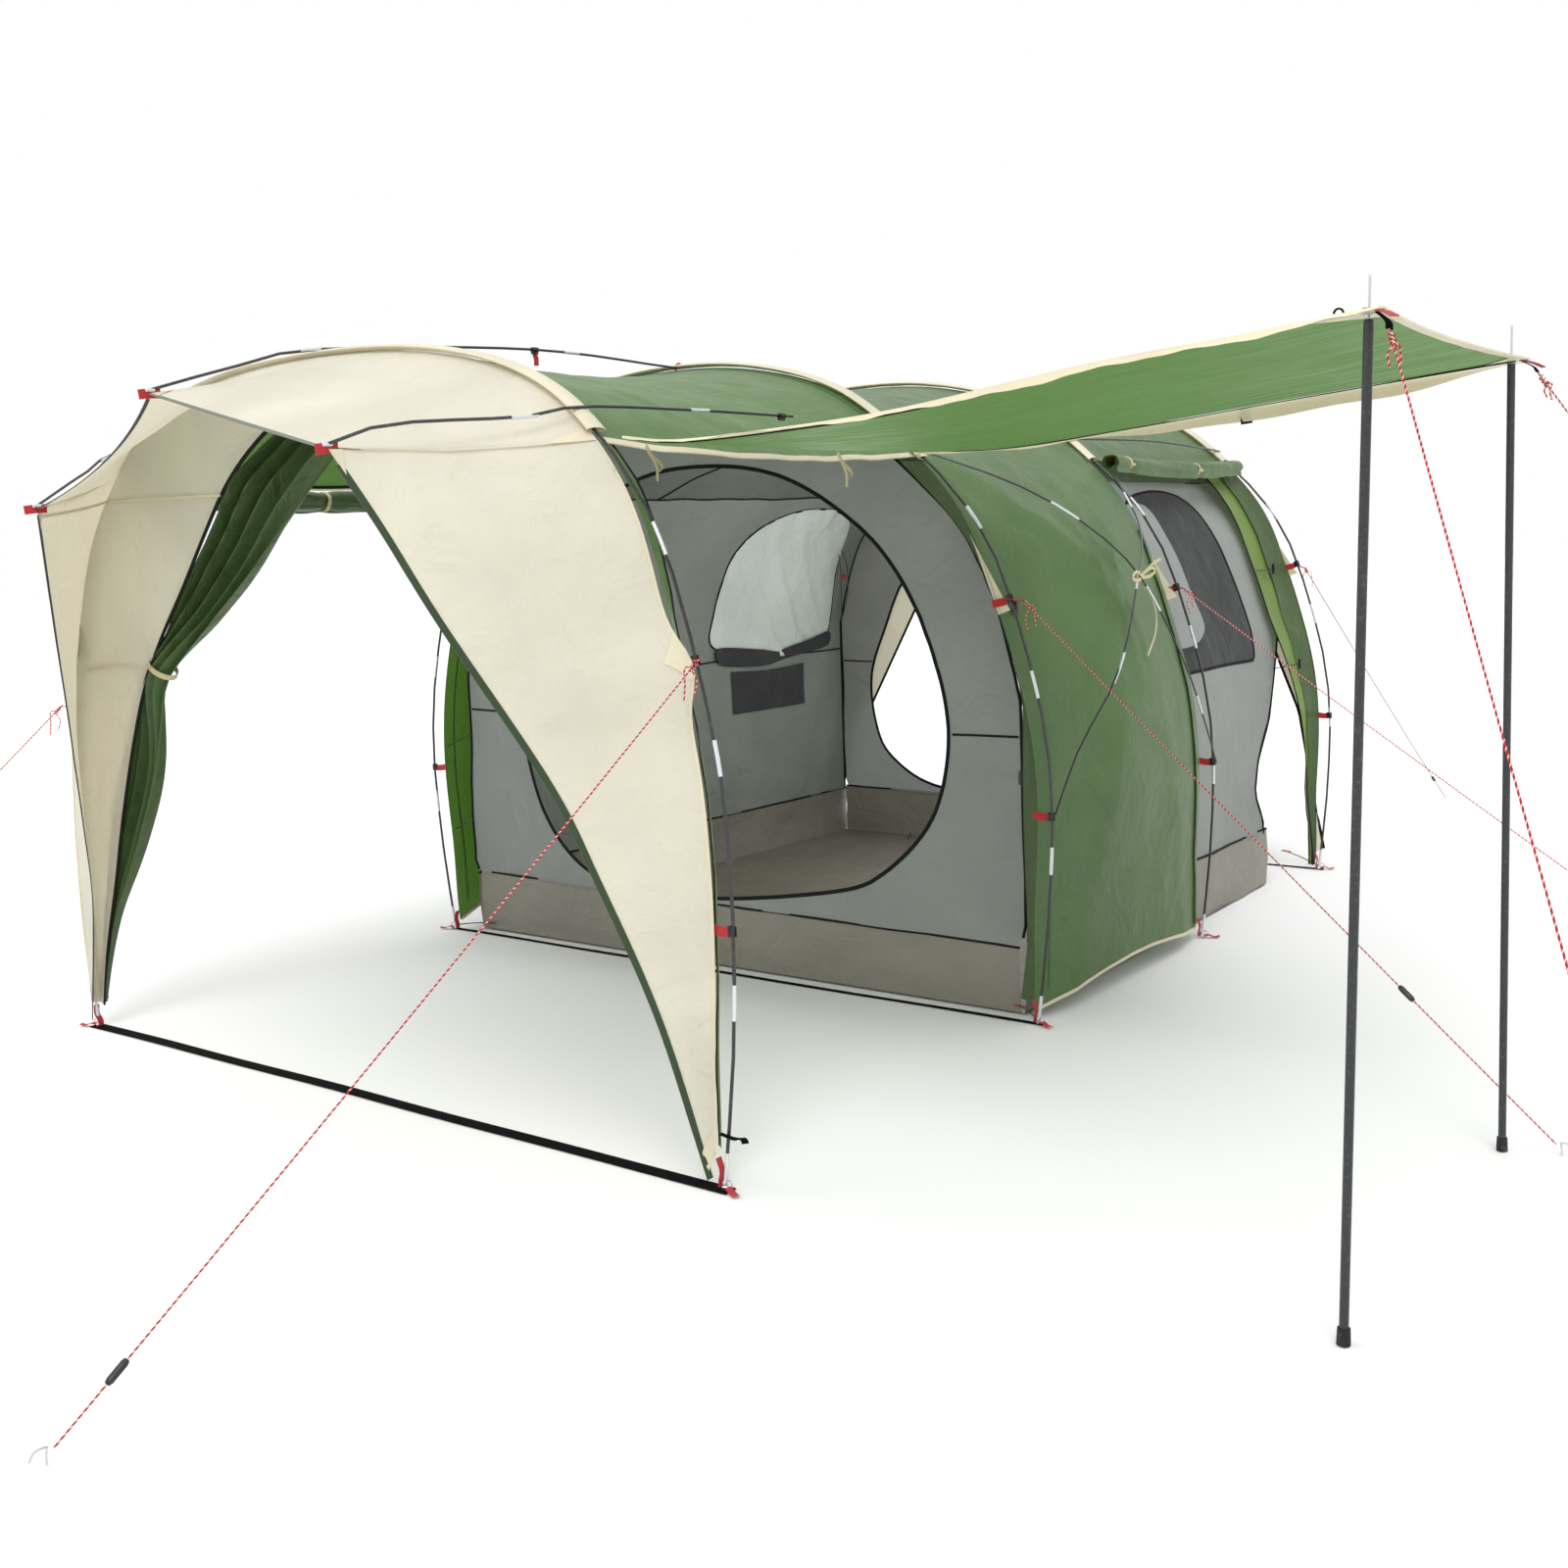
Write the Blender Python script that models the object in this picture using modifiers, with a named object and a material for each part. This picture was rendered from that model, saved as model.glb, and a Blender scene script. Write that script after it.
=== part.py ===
"""A tunnel tent on poles: four hoops, a front visor, a propped side canopy and an inner cabin.

Metres, +Z up. +Y runs along the tunnel towards the rear, +X is the side with the canopy. The origin
is the centre of the groundsheet's underside.
"""

import math

import bmesh
import bpy
import numpy as np
from mathutils import Matrix, Vector

# Driving dimensions
HOOP_Y = (-3.05, -1.40, -0.05, 1.44)      # where each hoop's feet stand
HOOP_LEAN = (0.0, -0.018, -0.050, -0.050)  # how far a hoop leans forward, per metre of height
HOOP_RADIUS = 0.00475
ROOF_POLE_RADIUS = 0.0043
CROSS_POLE_RADIUS = 0.0035
FRONT_SECTION = ((1.385, 0.0), (1.43, 0.40), (1.436, 0.80), (1.395, 1.15), (1.26, 1.60),
                 (1.08, 1.87), (0.85, 2.05), (0.48, 2.155), (0.0, 2.185))
MAIN_SECTION = ((1.385, 0.0), (1.437, 0.40), (1.455, 0.80), (1.395, 1.17), (1.243, 1.60),
                (0.99, 1.89), (0.70, 2.11), (0.36, 2.215), (0.0, 2.245))
REAR_NARROWING = 0.965                    # the last hoop's width against the middle ones
POLE_LIFT, SIDE_POLE_LIFT = 0.0105, 0.0150   # how far a roof pole's centre is above the hoop that it crosses
FLY_INSET = 0.014                         # the fly hangs this far inside the hoops
SHEET = 0.004                             # thickness of every fabric solid
GAP = 0.004                               # free space between neighbouring panels
WALL_PULL = 0.13                          # how far the crossed poles pull the middle wall out
SIDE_OPENING_TOP = 1.90                   # the last bay's right wall is rolled up to here
ROLL_ENDS, ROLL_RADIUS = ((1.052, -0.100, 1.872), (0.990, 1.300, 1.872)), 0.022

CROSS_POLES = {                           # what each pole passes through between its ends
    "a": ((1.285, -1.25, 1.755), (1.450, -1.05, 1.600), (1.521, -0.85, 1.435), (1.560, -0.60, 1.140),
          (1.525, -0.35, 0.918)),
    "b": ((1.280, -0.35, 1.640), (1.420, -0.62, 1.530), (1.508, -0.85, 1.437), (1.575, -1.08, 1.248),
          (1.558, -1.17, 1.090), (1.502, -1.30, 0.904)),
}
VISOR_TIPS = {"left": (-0.80, -3.491, 1.778), "middle": (0.0, -3.617, 2.052), "right": (0.86, -3.739, 1.858)}
WING_EDGES = {                            # the wings' front edges, from the tips down to the feet
    "right": ((0.862, -3.737, 1.842), (0.924, -3.646, 1.662), (0.995, -3.545, 1.438), (1.128, -3.349, 1.044),
              (1.194, -3.265, 0.802), (1.283, -3.160, 0.445), (1.366, -3.084, 0.020)),
    "left": ((-0.801, -3.490, 1.762), (-0.948, -3.372, 1.378), (-1.044, -3.293, 1.131), (-1.118, -3.234, 0.927),
             (-1.195, -3.172, 0.718), (-1.293, -3.100, 0.440), (-1.366, -3.084, 0.020)),
}
WING_ROWS = 14
WING_BEND = 0.4                           # the share of a wing's columns that lie in the front wall
DOOR_EDGE_HEIGHTS = (0.080, 0.350, 0.600, 0.800, 1.000, 1.180, 1.340, 1.510, 1.690, 1.840, 1.965)
DOOR_EDGE_WIDTHS = (1.350, 1.310, 1.255, 1.195, 1.125, 1.045, 0.940, 0.800, 0.660, 0.530, 0.360)
CANOPY_ROOT = ((1.118, -3.020, 1.872), (1.012, -1.460, 1.877))
CANOPY_EYELETS = ((2.971, -3.006, 1.998), (2.938, -1.790, 1.988))
CANOPY_FEET = ((2.914, -3.024, 0.0), (2.914, -1.794, 0.0))
CANOPY_MARGIN = 0.030                     # fabric outside the eyelets
EYELET_RADIUS = 0.013
PROP_RADIUS = 0.0095                      # 19 mm steel tube
PROP_SHOULDER = 0.012                     # from the canopy down to the top of the tube
SPIKE_RADIUS = 0.003
SPIKE_ABOVE = 0.073

REAR_OPENING = ((-1.25, 0.03), (1.25, 0.03), (1.25, 0.44), (1.19, 0.90), (1.08, 1.15), (0.42, 1.84), (-0.42, 1.84),
                (-1.25, 0.44))
CURTAIN = ((-0.20, 2.06, 0.050), (-0.50, 1.78, 0.052), (-0.80, 1.49, 0.042), (-1.06, 1.25, 0.020),
           (-1.15, 1.05, 0.026), (-1.19, 0.88, 0.034), (-1.265, 0.62, 0.032), (-1.32, 0.36, 0.028),
           (-1.345, 0.06, 0.022))         # x, z and half depth, from the roof down
CURTAIN_ROWS, CURTAIN_CLEAR = 16, 0.015

FLOOR_HALF_X, FLOOR_HALF_Y = 1.29, 1.33
CABIN_HALF_X = {1: 1.31, 3: 1.24}         # the cabin narrows a little from its front to its rear
CABIN_INSET = 0.11                        # the cabin hangs this far inside the fly's hoops
CABIN_FRONT_Y, CABIN_REAR_Y = -1.335, 1.335
DOOR_CENTRES, DOOR_RADIUS, DOOR_HEIGHT = (-0.22, 0.25), 0.78, 1.05

GUY_RADIUS = 0.0020
GUY_SAG = 0.004                           # sag at mid-span over the span
GUYS = {
    "guy_front_right": ((1.392, -3.085, 1.330), (1.150, -4.700, 0.0)),
    "guy_front_left": ((-1.430, -3.085, 1.120), (-1.070, -4.690, 0.0)),
    "guy_second_right": ((1.375, -1.432, 1.392), (3.045, -1.763, 0.0)),
    "guy_third_right": ((1.350, -0.118, 1.375), (3.250, -0.060, 0.0)),
    "guy_rear_right": ((1.290, 1.420, 1.400), (1.319, 3.600, 0.0)),
    "guy_canopy_near": ((3.020, -3.045, 1.960), (3.808, -4.040, 0.0)),
    "guy_canopy_far": ((2.990, -1.760, 1.960), (4.131, -0.669, 0.0)),
}
RUNNERS = {"guy_front_right": 0.925, "guy_second_right": 0.767, "guy_rear_right": 0.90}  # share of the line
PEG_TOP = 0.035
STRAP_REACH, STRAP_THICKNESS = 0.03, 0.0024

COLOURS = {
    "fibreglass": ((0.02, 0.02, 0.022), 0.35, 0.0),
    "steel_black": ((0.018, 0.018, 0.02), 0.38, 0.4),
    "steel_bright": ((0.72, 0.73, 0.75), 0.25, 1.0),
    "rubber": ((0.015, 0.015, 0.015), 0.75, 0.0),
    "fly_green": ((0.10, 0.20, 0.065), 0.6, 0.0),
    "fly_cream": ((0.78, 0.74, 0.62), 0.6, 0.0),
    "cabin_grey": ((0.25, 0.26, 0.25), 0.7, 0.0),
    "groundsheet": ((0.27, 0.25, 0.20), 0.6, 0.0),
    "webbing": ((0.02, 0.02, 0.02), 0.8, 0.0),
    "cord": ((0.70, 0.18, 0.18), 0.7, 0.0),
    "plastic": ((0.02, 0.02, 0.02), 0.45, 0.0),
}


def clear_scene():
    for obj in list(bpy.data.objects):
        bpy.data.objects.remove(obj, do_unlink=True)


def collection(name):
    made = bpy.data.collections.new(name)
    bpy.context.scene.collection.children.link(made)
    return made


def materials():
    made = {}
    for name, (colour, roughness, metallic) in COLOURS.items():
        material = bpy.data.materials.new(name)
        material.use_nodes = True
        shader = material.node_tree.nodes["Principled BSDF"]
        shader.inputs["Base Color"].default_value = (*colour, 1)
        shader.inputs["Roughness"].default_value = roughness
        shader.inputs["Metallic"].default_value = metallic
        made[name] = material
    return made


clear_scene()
TENT = collection("tunnel_tent")
MATERIALS = materials()


# Curves and sections

def smooth(points, count):
    """Points evenly spaced along a Catmull-Rom curve through the given ones."""
    points = np.array(points, float)
    ends = np.vstack([2 * points[0] - points[1], points, 2 * points[-1] - points[-2]])
    dense = []
    for a, b, c, d in zip(ends, ends[1:], ends[2:], ends[3:]):
        for t in np.linspace(0, 1, 24, endpoint=False):
            dense.append(0.5 * (2 * b + (c - a) * t + (2 * a - 5 * b + 4 * c - d) * t ** 2
                                + (3 * b - a - 3 * c + d) * t ** 3))
    dense = np.array(dense + [points[-1]])
    length = np.concatenate([[0], np.cumsum(np.linalg.norm(np.diff(dense, axis=0), axis=1))])
    at = np.linspace(0, length[-1], count)
    return np.stack([np.interp(at, length, dense[:, k]) for k in range(dense.shape[1])], axis=1)


def hoop_section(index):
    """The hoop's centreline as (x, z) points, from the left foot to the right one."""
    half = np.array(FRONT_SECTION if index == 0 else MAIN_SECTION)
    if index == 3:
        half = half * (REAR_NARROWING, 1.0)
    whole = np.vstack([half * (-1, 1), half[-2::-1]])
    return smooth(whole, 241)


SECTIONS = [hoop_section(index) for index in range(4)]


def arch(index, share, inset=0.0):
    """The point a share of the way round a hoop, from 0 at the left foot to 1 at the right, moved inwards."""
    section = SECTIONS[index]
    at = share * (len(section) - 1)
    steps = np.arange(len(section))
    x, z = (np.interp(at, steps, section[:, k]) for k in (0, 1))
    before, after = (np.array([np.interp(at + d, steps, section[:, k]) for k in (0, 1)]) for d in (-1, 1))
    along = (after - before) / np.linalg.norm(after - before)
    x, z = x + along[1] * inset, z - along[0] * inset
    return np.array([x, HOOP_Y[index] + HOOP_LEAN[index] * z, z])


def share_at(index, side, height):
    """Where round the hoop one side's leg passes this height: side is -1 for left, 1 for right."""
    section = SECTIONS[index]
    half = len(section) // 2
    share = np.interp(height, section[:half + 1, 1], np.linspace(0, 0.5, half + 1))
    return share if side < 0 else 1 - share


# Solids

def add(obj, material, smooth_shading=True):
    TENT.objects.link(obj)
    obj.data.materials.append(MATERIALS[material])
    if smooth_shading and obj.type == "MESH":
        obj.data.shade_smooth()
        obj.data.set_sharp_from_angle(angle=math.radians(35))
    return obj


def tube(name, points, radius, material, sides=2):
    """A round pole or cord with closed ends along a row of points."""
    curve = bpy.data.curves.new(name, "CURVE")
    curve.dimensions = "3D"
    curve.bevel_depth = radius
    curve.bevel_resolution = sides
    curve.use_fill_caps = True
    spline = curve.splines.new("POLY")
    spline.points.add(len(points) - 1)
    for point, place in zip(spline.points, points):
        point.co = (*map(float, place), 1)
    return add(bpy.data.objects.new(name, curve), material)


def sheet(name, place, across, along, material, thickness=SHEET):
    """A fabric solid: a grid whose points lie where place(u, v) says, u and v from 0 to 1, given a thickness."""
    mesh = bpy.data.meshes.new(name)
    bm = bmesh.new()
    bmesh.ops.create_grid(bm, x_segments=across, y_segments=along, size=0.5)
    for vert in bm.verts:
        vert.co = Vector(map(float, place(vert.co.x + 0.5, vert.co.y + 0.5)))
    bm.to_mesh(mesh)
    bm.free()
    obj = add(bpy.data.objects.new(name, mesh), material)
    skin = obj.modifiers.new("thickness", "SOLIDIFY")
    skin.thickness = thickness
    skin.offset = 0
    return obj


def flat_outline(name, loops, thickness, matrix, material):
    """A flat plate with holes: the first loop is its edge, the others are its holes."""
    curve = bpy.data.curves.new(name, "CURVE")
    curve.dimensions = "2D"
    curve.fill_mode = "BOTH"
    curve.extrude = thickness / 2
    for loop in loops:
        spline = curve.splines.new("POLY")
        spline.points.add(len(loop) - 1)
        spline.use_cyclic_u = True
        for point, (x, y) in zip(spline.points, loop):
            point.co = (float(x), float(y), 0, 1)
    obj = add(bpy.data.objects.new(name, curve), material)
    obj.matrix_world = matrix
    return obj


def turned(name, profile, matrix, material, steps=16):
    """A turned solid: its profile runs from the axis at the top, down its outer side, to the axis at the bottom."""
    mesh = bpy.data.meshes.new(name)
    bm = bmesh.new()
    verts = [bm.verts.new((r, 0, z)) for r, z in profile]
    for a, b in zip(verts, verts[1:]):
        bm.edges.new((a, b))
    bm.to_mesh(mesh)
    bm.free()
    obj = add(bpy.data.objects.new(name, mesh), material)
    screw = obj.modifiers.new("turn", "SCREW")
    screw.steps = screw.render_steps = steps
    screw.use_merge_vertices = True
    screw.merge_threshold = 0.0001
    obj.matrix_world = matrix
    return obj


def box(name, size, matrix, material):
    """A plain block about its own centre."""
    mesh = bpy.data.meshes.new(name)
    bm = bmesh.new()
    bmesh.ops.create_cube(bm, size=1)
    bm.to_mesh(mesh)
    bm.free()
    mesh.transform(Matrix.Diagonal((*size, 1)))
    obj = add(bpy.data.objects.new(name, mesh), material, False)
    obj.matrix_world = matrix
    return obj


def frame_at(origin, x_axis, z_axis):
    """A placing whose X and Z point along the two directions given."""
    z = Vector(z_axis).normalized()
    x = Vector(x_axis)
    x = (x - z * x.dot(z)).normalized()
    y = z.cross(x)
    return Matrix.Translation(Vector(origin)) @ Matrix((x, y, z)).transposed().to_4x4()


# Poles

def build_hoops():
    for index in range(4):
        shares = np.linspace(0, 1, 37)
        points = [arch(index, share) for share in shares]
        lift = 0.012  # the pole's end stands on the shoulder of its foot pin
        for end in (0, -1):
            points[end] = points[end] + np.array([0, 0, lift])
        tube(f"hoop_pole_{index + 1}", points, HOOP_RADIUS, "fibreglass")


def above_roof(index, x, lift=POLE_LIFT):
    """The point this far out from the middle on a hoop's arch, lifted clear of the hoop."""
    section = SECTIONS[index]
    half = len(section) // 2
    share = np.interp(abs(x), section[:half + 1, 0][::-1] * -1, np.linspace(0.5, 0, half + 1))
    return arch(index, 1 - share if x > 0 else share, -lift)


def build_roof_poles():
    """Three poles that run back from the visor's tips over the first hoop."""
    over = above_roof(0, 0.0) + np.array([0, 0, 0.002])
    middle = [VISOR_TIPS["middle"], (0.0, -3.33, 2.135), over, (0.0, -2.20, 2.255), (0.0, -1.475, 2.2395)]
    right = [VISOR_TIPS["right"], (0.915, -3.596, 1.905), (0.985, -3.24, 1.930), above_roof(0, 1.0, SIDE_POLE_LIFT),
             (1.0, -2.57, 1.972), (1.0, -2.135, 1.972)]
    left = [VISOR_TIPS["left"], (-0.905, -3.27, 1.880), above_roof(0, -1.0, SIDE_POLE_LIFT), (-1.0, -2.57, 1.972),
            (-1.0, -2.135, 1.972)]
    for name, path in (("middle", middle), ("right", right), ("left", left)):
        tube(f"roof_pole_{name}", smooth(path, 16), ROOF_POLE_RADIUS, "fibreglass")


def build_cross_poles():
    """Two thin poles that bow outwards and cross where the middle bay's wall is pulled out."""
    clear = -0.012
    ends = {"a": (arch(1, share_at(1, 1, 1.88), clear), arch(2, share_at(2, 1, 0.70), clear)),
            "b": (arch(2, share_at(2, 1, 1.80), clear), arch(1, share_at(1, 1, 0.70), clear))}
    for name, (start, end) in ends.items():
        tube(f"cross_pole_{name}", smooth([start, *CROSS_POLES[name], end], 18), CROSS_POLE_RADIUS, "fibreglass")


def build_rear_poles():
    """The shoulder poles of the last bay, which run from the third hoop to the fourth along each side."""
    for side, name in ((1, "right"), (-1, "left")):
        front = above_roof(2, side * 0.92, 0.013)
        rear = above_roof(3, side * 0.90, 0.013)
        middle = (front + rear) / 2 + np.array([0, 0, 0.018])
        tube(f"rear_roof_pole_{name}", smooth([front + np.array([0, -0.05, 0]), front, middle, rear,
                                               rear + np.array([0, 0.03, -0.004])], 12),
             ROOF_POLE_RADIUS, "fibreglass")


def canopy_frame():
    """The canopy's own placing: X out from its root seam, Y along the seam, Z up off the cloth."""
    root, far = (Vector(p) for p in CANOPY_ROOT)
    along = (far - root).normalized()
    out = Vector(CANOPY_EYELETS[0]) - root
    return frame_at(root, out, out.cross(along))


def eyelets():
    """Where the two eyelets lie on the canopy's plane."""
    placing = canopy_frame()
    flat = [placing.inverted() @ Vector(p) for p in CANOPY_EYELETS]
    return [(p.x, p.y) for p in flat], [placing @ Vector((p.x, p.y, 0)) for p in flat]


def circle(x, y, radius, count, start=0.0, turn=2 * math.pi):
    steps = count if turn == 2 * math.pi else count - 1
    return [(x + radius * math.cos(start + turn * k / steps), y + radius * math.sin(start + turn * k / steps))
            for k in range(count)]


def build_canopy():
    flat, _ = eyelets()
    (near_x, near_y), (far_x, far_y) = flat
    seam = (Vector(CANOPY_ROOT[1]) - Vector(CANOPY_ROOT[0])).length
    edge = [(0.006, 0), (near_x + CANOPY_MARGIN, near_y - CANOPY_MARGIN),
            (far_x + CANOPY_MARGIN, far_y + CANOPY_MARGIN), (0.006, seam)]
    holes = [circle(x, y, EYELET_RADIUS, 16) for x, y in flat]
    flat_outline("canopy", [edge, *holes], SHEET, canopy_frame(), "fly_green")


def build_props():
    _, tops = eyelets()
    for name, foot, top in zip(("near", "far"), CANOPY_FEET, tops):
        foot = Vector(foot)
        up = (top - foot).normalized()
        placing = frame_at(foot, (1, 0, 0), up)
        length = (top - foot).length
        sole, cup = 0.008, 0.034
        turned(f"canopy_pole_foot_{name}",
               [(0, sole), (PROP_RADIUS + 0.0004, sole), (PROP_RADIUS + 0.0004, cup), (0.0128, cup),
                (0.0135, 0.020), (0.0140, 0.0006), (0, 0.0006)], placing, "rubber")
        low, high = sole + 0.0004, length - PROP_SHOULDER
        turned(f"canopy_pole_{name}", [(0, high), (PROP_RADIUS - 0.002, high), (PROP_RADIUS, high - 0.004),
                                       (PROP_RADIUS, low), (0, low)], placing, "steel_black")
        tip = length + SPIKE_ABOVE
        turned(f"canopy_spike_{name}", [(0, tip), (SPIKE_RADIUS * 0.5, tip - 0.001), (SPIKE_RADIUS, tip - 0.004),
                                        (SPIKE_RADIUS, high + 0.0004), (0, high + 0.0004)], placing,
               "steel_bright", steps=10)


# Feet and ground straps

def foot_place(index, side):
    return arch(index, 1.0 if side > 0 else 0.0)


def build_feet():
    """Each hoop end stands on a pin that is riveted to the ground strap's end."""
    for index in range(4):
        for side, name in ((1, "right"), (-1, "left")):
            x, y, _ = foot_place(index, side)
            turned(f"foot_pin_{index + 1}_{name}",
                   [(0, 0.0110), (0.0075, 0.0110), (0.0095, 0.0085), (0.0095, 0.0032), (0, 0.0032)],
                   Matrix.Translation((x, y, 0)), "steel_bright", steps=12)


def build_straps():
    """Webbing on the ground between the two feet of a hoop. The cabin's floor takes the third one's place."""
    for index, width in ((0, 0.044), (1, 0.020), (3, 0.020)):
        left, right = foot_place(index, -1), foot_place(index, 1)
        length = right[0] - left[0] + 2 * STRAP_REACH
        box(f"ground_strap_{index + 1}", (length, width, STRAP_THICKNESS),
            Matrix.Translation((0, left[1], STRAP_THICKNESS / 2)), "webbing")


# Fly

def between(index, share, v, inset):
    """A point on the straight cloth between two hoops, v from 0 on the first to 1 on the next."""
    return arch(index, share, inset) * (1 - v) + arch(index + 1, share, inset) * v


def bay_cloth(index, first, last, pull=0.0, sag=0.05):
    """Cloth between two hoops, from one share round them to another: sagging over the roof, pulled out at the wall."""
    def place(u, v):
        share = first(v) + (last(v) - first(v)) * u
        v = GAP + v * (1 - 2 * GAP)
        point = between(index, share, v, FLY_INSET)
        swell = 4 * v * (1 - v)
        point[2] -= sag * swell * max(0.0, math.cos(math.pi * (share - 0.5) * 1.7))
        for side in (-1, 1):
            from_pull = (share - (0.5 + side * 0.256)) / 0.11
            point[0] += side * pull * swell * math.exp(-from_pull ** 2)
        return point
    return place


def constant(value):
    return lambda v: value


def root_shares(side):
    """Where the first bay's roof ends on hoops one and two, just above the canopy's seam."""
    return [share_at(index, side, CANOPY_ROOT[index][2] + 0.012) for index in (0, 1)]


def build_fly():
    right, left = root_shares(1), root_shares(-1)
    sheet("fly_roof_front", bay_cloth(0, lambda v: left[0] + (left[1] - left[0]) * v,
                                      lambda v: right[0] + (right[1] - right[0]) * v), 16, 6, "fly_green")
    hem = 0.004
    sheet("fly_middle", bay_cloth(1, constant(hem), constant(1 - hem), pull=WALL_PULL), 28, 8, "fly_green")
    open_above = share_at(2, 1, SIDE_OPENING_TOP)
    sheet("fly_rear", bay_cloth(2, constant(hem), constant(open_above), sag=0.04), 24, 6, "fly_green")
    tube("fly_side_roll", [np.array(ROLL_ENDS[0]) * (1 - t) + np.array(ROLL_ENDS[1]) * t
                           for t in np.linspace(0, 1, 7)], ROLL_RADIUS, "fly_green", sides=4)


def upright_placing(y, lean=0.0):
    """Turns a flat outline, drawn in X and Y, to stand in X and Z, leaning by so much per metre of height."""
    return Matrix(((1, 0, 0, 0), (0, lean, -1, y), (0, 1, 0, 0), (0, 0, 0, 1)))


def build_end_wall():
    """The fly's rear wall, open in the middle between two slanting edges."""
    edge = [tuple(arch(3, share, 0.016)[[0, 2]]) for share in np.linspace(0.003, 0.997, 33)]
    placing = upright_placing(HOOP_Y[3] + 0.012, HOOP_LEAN[3])
    flat_outline("fly_end_wall", [edge, REAR_OPENING], SHEET, placing, "fly_cream")


def build_visor():
    """The visor's roof reaches forward from the first hoop to three tips. On each side a wing runs down from it, and
    at the hoop's leg it turns inwards as the fixed part of the front wall, to the edge of the front opening."""
    tips = [np.array(VISOR_TIPS[name]) for name in ("left", "middle", "right")]
    first, last = share_at(0, -1, 1.86), share_at(0, 1, 1.86)

    def front(u):
        pair = (tips[0], tips[1]) if u < 0.5 else (tips[1], tips[2])
        along = u * 2 if u < 0.5 else u * 2 - 1
        point = pair[0] * (1 - along) + pair[1] * along
        point[1] += 0.06 * 4 * along * (1 - along)
        return point - np.array([0, 0, 0.010])

    def roof(u, v):
        hoop = arch(0, first + (last - first) * u, FLY_INSET) - np.array([0, GAP, 0])
        point = hoop * (1 - v) + front(u) * v
        point[2] -= 0.02 * math.sin(math.pi * v)
        return point

    sheet("visor_roof", roof, 20, 6, "fly_cream")
    for name, share, foot in (("right", last, 1.0), ("left", first, 0.0)):
        front_edge = smooth(WING_EDGES[name], WING_ROWS + 1)

        def wing(u, v):
            back = arch(0, share + (foot - share) * (0.01 + 0.975 * v), FLY_INSET) - np.array([0, GAP, 0])
            if u < WING_BEND:
                inner = back.copy()
                inner[0] = math.copysign(np.interp(back[2], DOOR_EDGE_HEIGHTS, DOOR_EDGE_WIDTHS), back[0])
                point = inner + (back - inner) * u / WING_BEND
            else:
                reach = (u - WING_BEND) / (1 - WING_BEND)
                point = back * (1 - reach) + front_edge[round(v * WING_ROWS)] * reach
            return point - np.array([0, 0, 0.012 * (1 - v)])

        sheet(f"visor_wing_{name}", wing, 10, WING_ROWS, "fly_cream")


def build_curtain():
    """The front door gathered to the left leg: a bundle that is tied in at mid height and fans out to the roof."""
    rows = smooth(CURTAIN, CURTAIN_ROWS)
    mesh = bpy.data.meshes.new("door_curtain")
    bm = bmesh.new()
    bmesh.ops.create_cone(bm, segments=12, radius1=1, radius2=1, depth=1, cap_ends=True)
    walls = [face for face in bm.faces if len(face.verts) == 4]
    upright = {edge for face in walls for edge in face.edges if abs(edge.verts[0].co.z - edge.verts[1].co.z) > 0.5}
    bmesh.ops.subdivide_edges(bm, edges=list(upright), cuts=CURTAIN_ROWS - 2)
    for vert in bm.verts:
        x, z, half = rows[round((0.5 - vert.co.z) * (CURTAIN_ROWS - 1))]
        across, deep = vert.co.xy.normalized()
        vert.co = (x + half * 1.6 * across, HOOP_Y[0] + CURTAIN_CLEAR + half * (1 + deep), z)
    bmesh.ops.recalc_face_normals(bm, faces=bm.faces)
    bm.to_mesh(mesh)
    bm.free()
    add(bpy.data.objects.new("door_curtain", mesh), "fly_green")


# Cabin

def door_outline():
    """A wide round door: two half circles joined by straight runs."""
    left, right = DOOR_CENTRES
    return (circle(right, DOOR_HEIGHT, DOOR_RADIUS, 15, -math.pi / 2, math.pi)
            + circle(left, DOOR_HEIGHT, DOOR_RADIUS, 15, math.pi / 2, math.pi))


def cabin_section(index, share):
    """The cabin's wall line inside a hoop: upright from the floor's edge, then following the arch."""
    x, _, z = arch(index, share, CABIN_INSET)
    return np.array([math.copysign(min(abs(x), CABIN_HALF_X[index]), x), z])


def build_cabin():
    box("groundsheet", (2 * FLOOR_HALF_X, 2 * FLOOR_HALF_Y, SHEET), Matrix.Translation((0, 0, SHEET / 2)),
        "groundsheet")
    lowest = 0.008
    for name, index, y in (("cabin_front_wall", 1, CABIN_FRONT_Y), ("cabin_rear_wall", 3, CABIN_REAR_Y)):
        points = [cabin_section(index, share) for share in np.linspace(0.05, 0.95, 29)]
        points = [p for p in points if p[1] > lowest + 0.05]
        edge = [(points[0][0], lowest), *points, (points[-1][0], lowest)]
        flat_outline(name, [edge, door_outline()], SHEET, upright_placing(y), "cabin_grey")

    def shell(u, v):
        share = 0.014 + 0.972 * u
        front, rear = (cabin_section(index, share) for index in (1, 3))
        x, z = front * (1 - v) + rear * v
        y = (CABIN_FRONT_Y + 0.008) * (1 - v) + (CABIN_REAR_Y - 0.008) * v
        return (x, y, max(z, lowest))

    sheet("cabin_shell", shell, 24, 6, "cabin_grey")


def build_zip_slider():
    """The front door's zip slider, on the round run of its zip."""
    angle = math.radians(-38)
    x = DOOR_CENTRES[1] + DOOR_RADIUS * math.cos(angle)
    z = DOOR_HEIGHT + DOOR_RADIUS * math.sin(angle)
    placing = Matrix.Translation((x, CABIN_FRONT_Y - 0.0065, z)) @ Matrix.Rotation(-angle, 4, "Y")
    box("door_zip_slider", (0.010, 0.006, 0.026), placing, "plastic")


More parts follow.
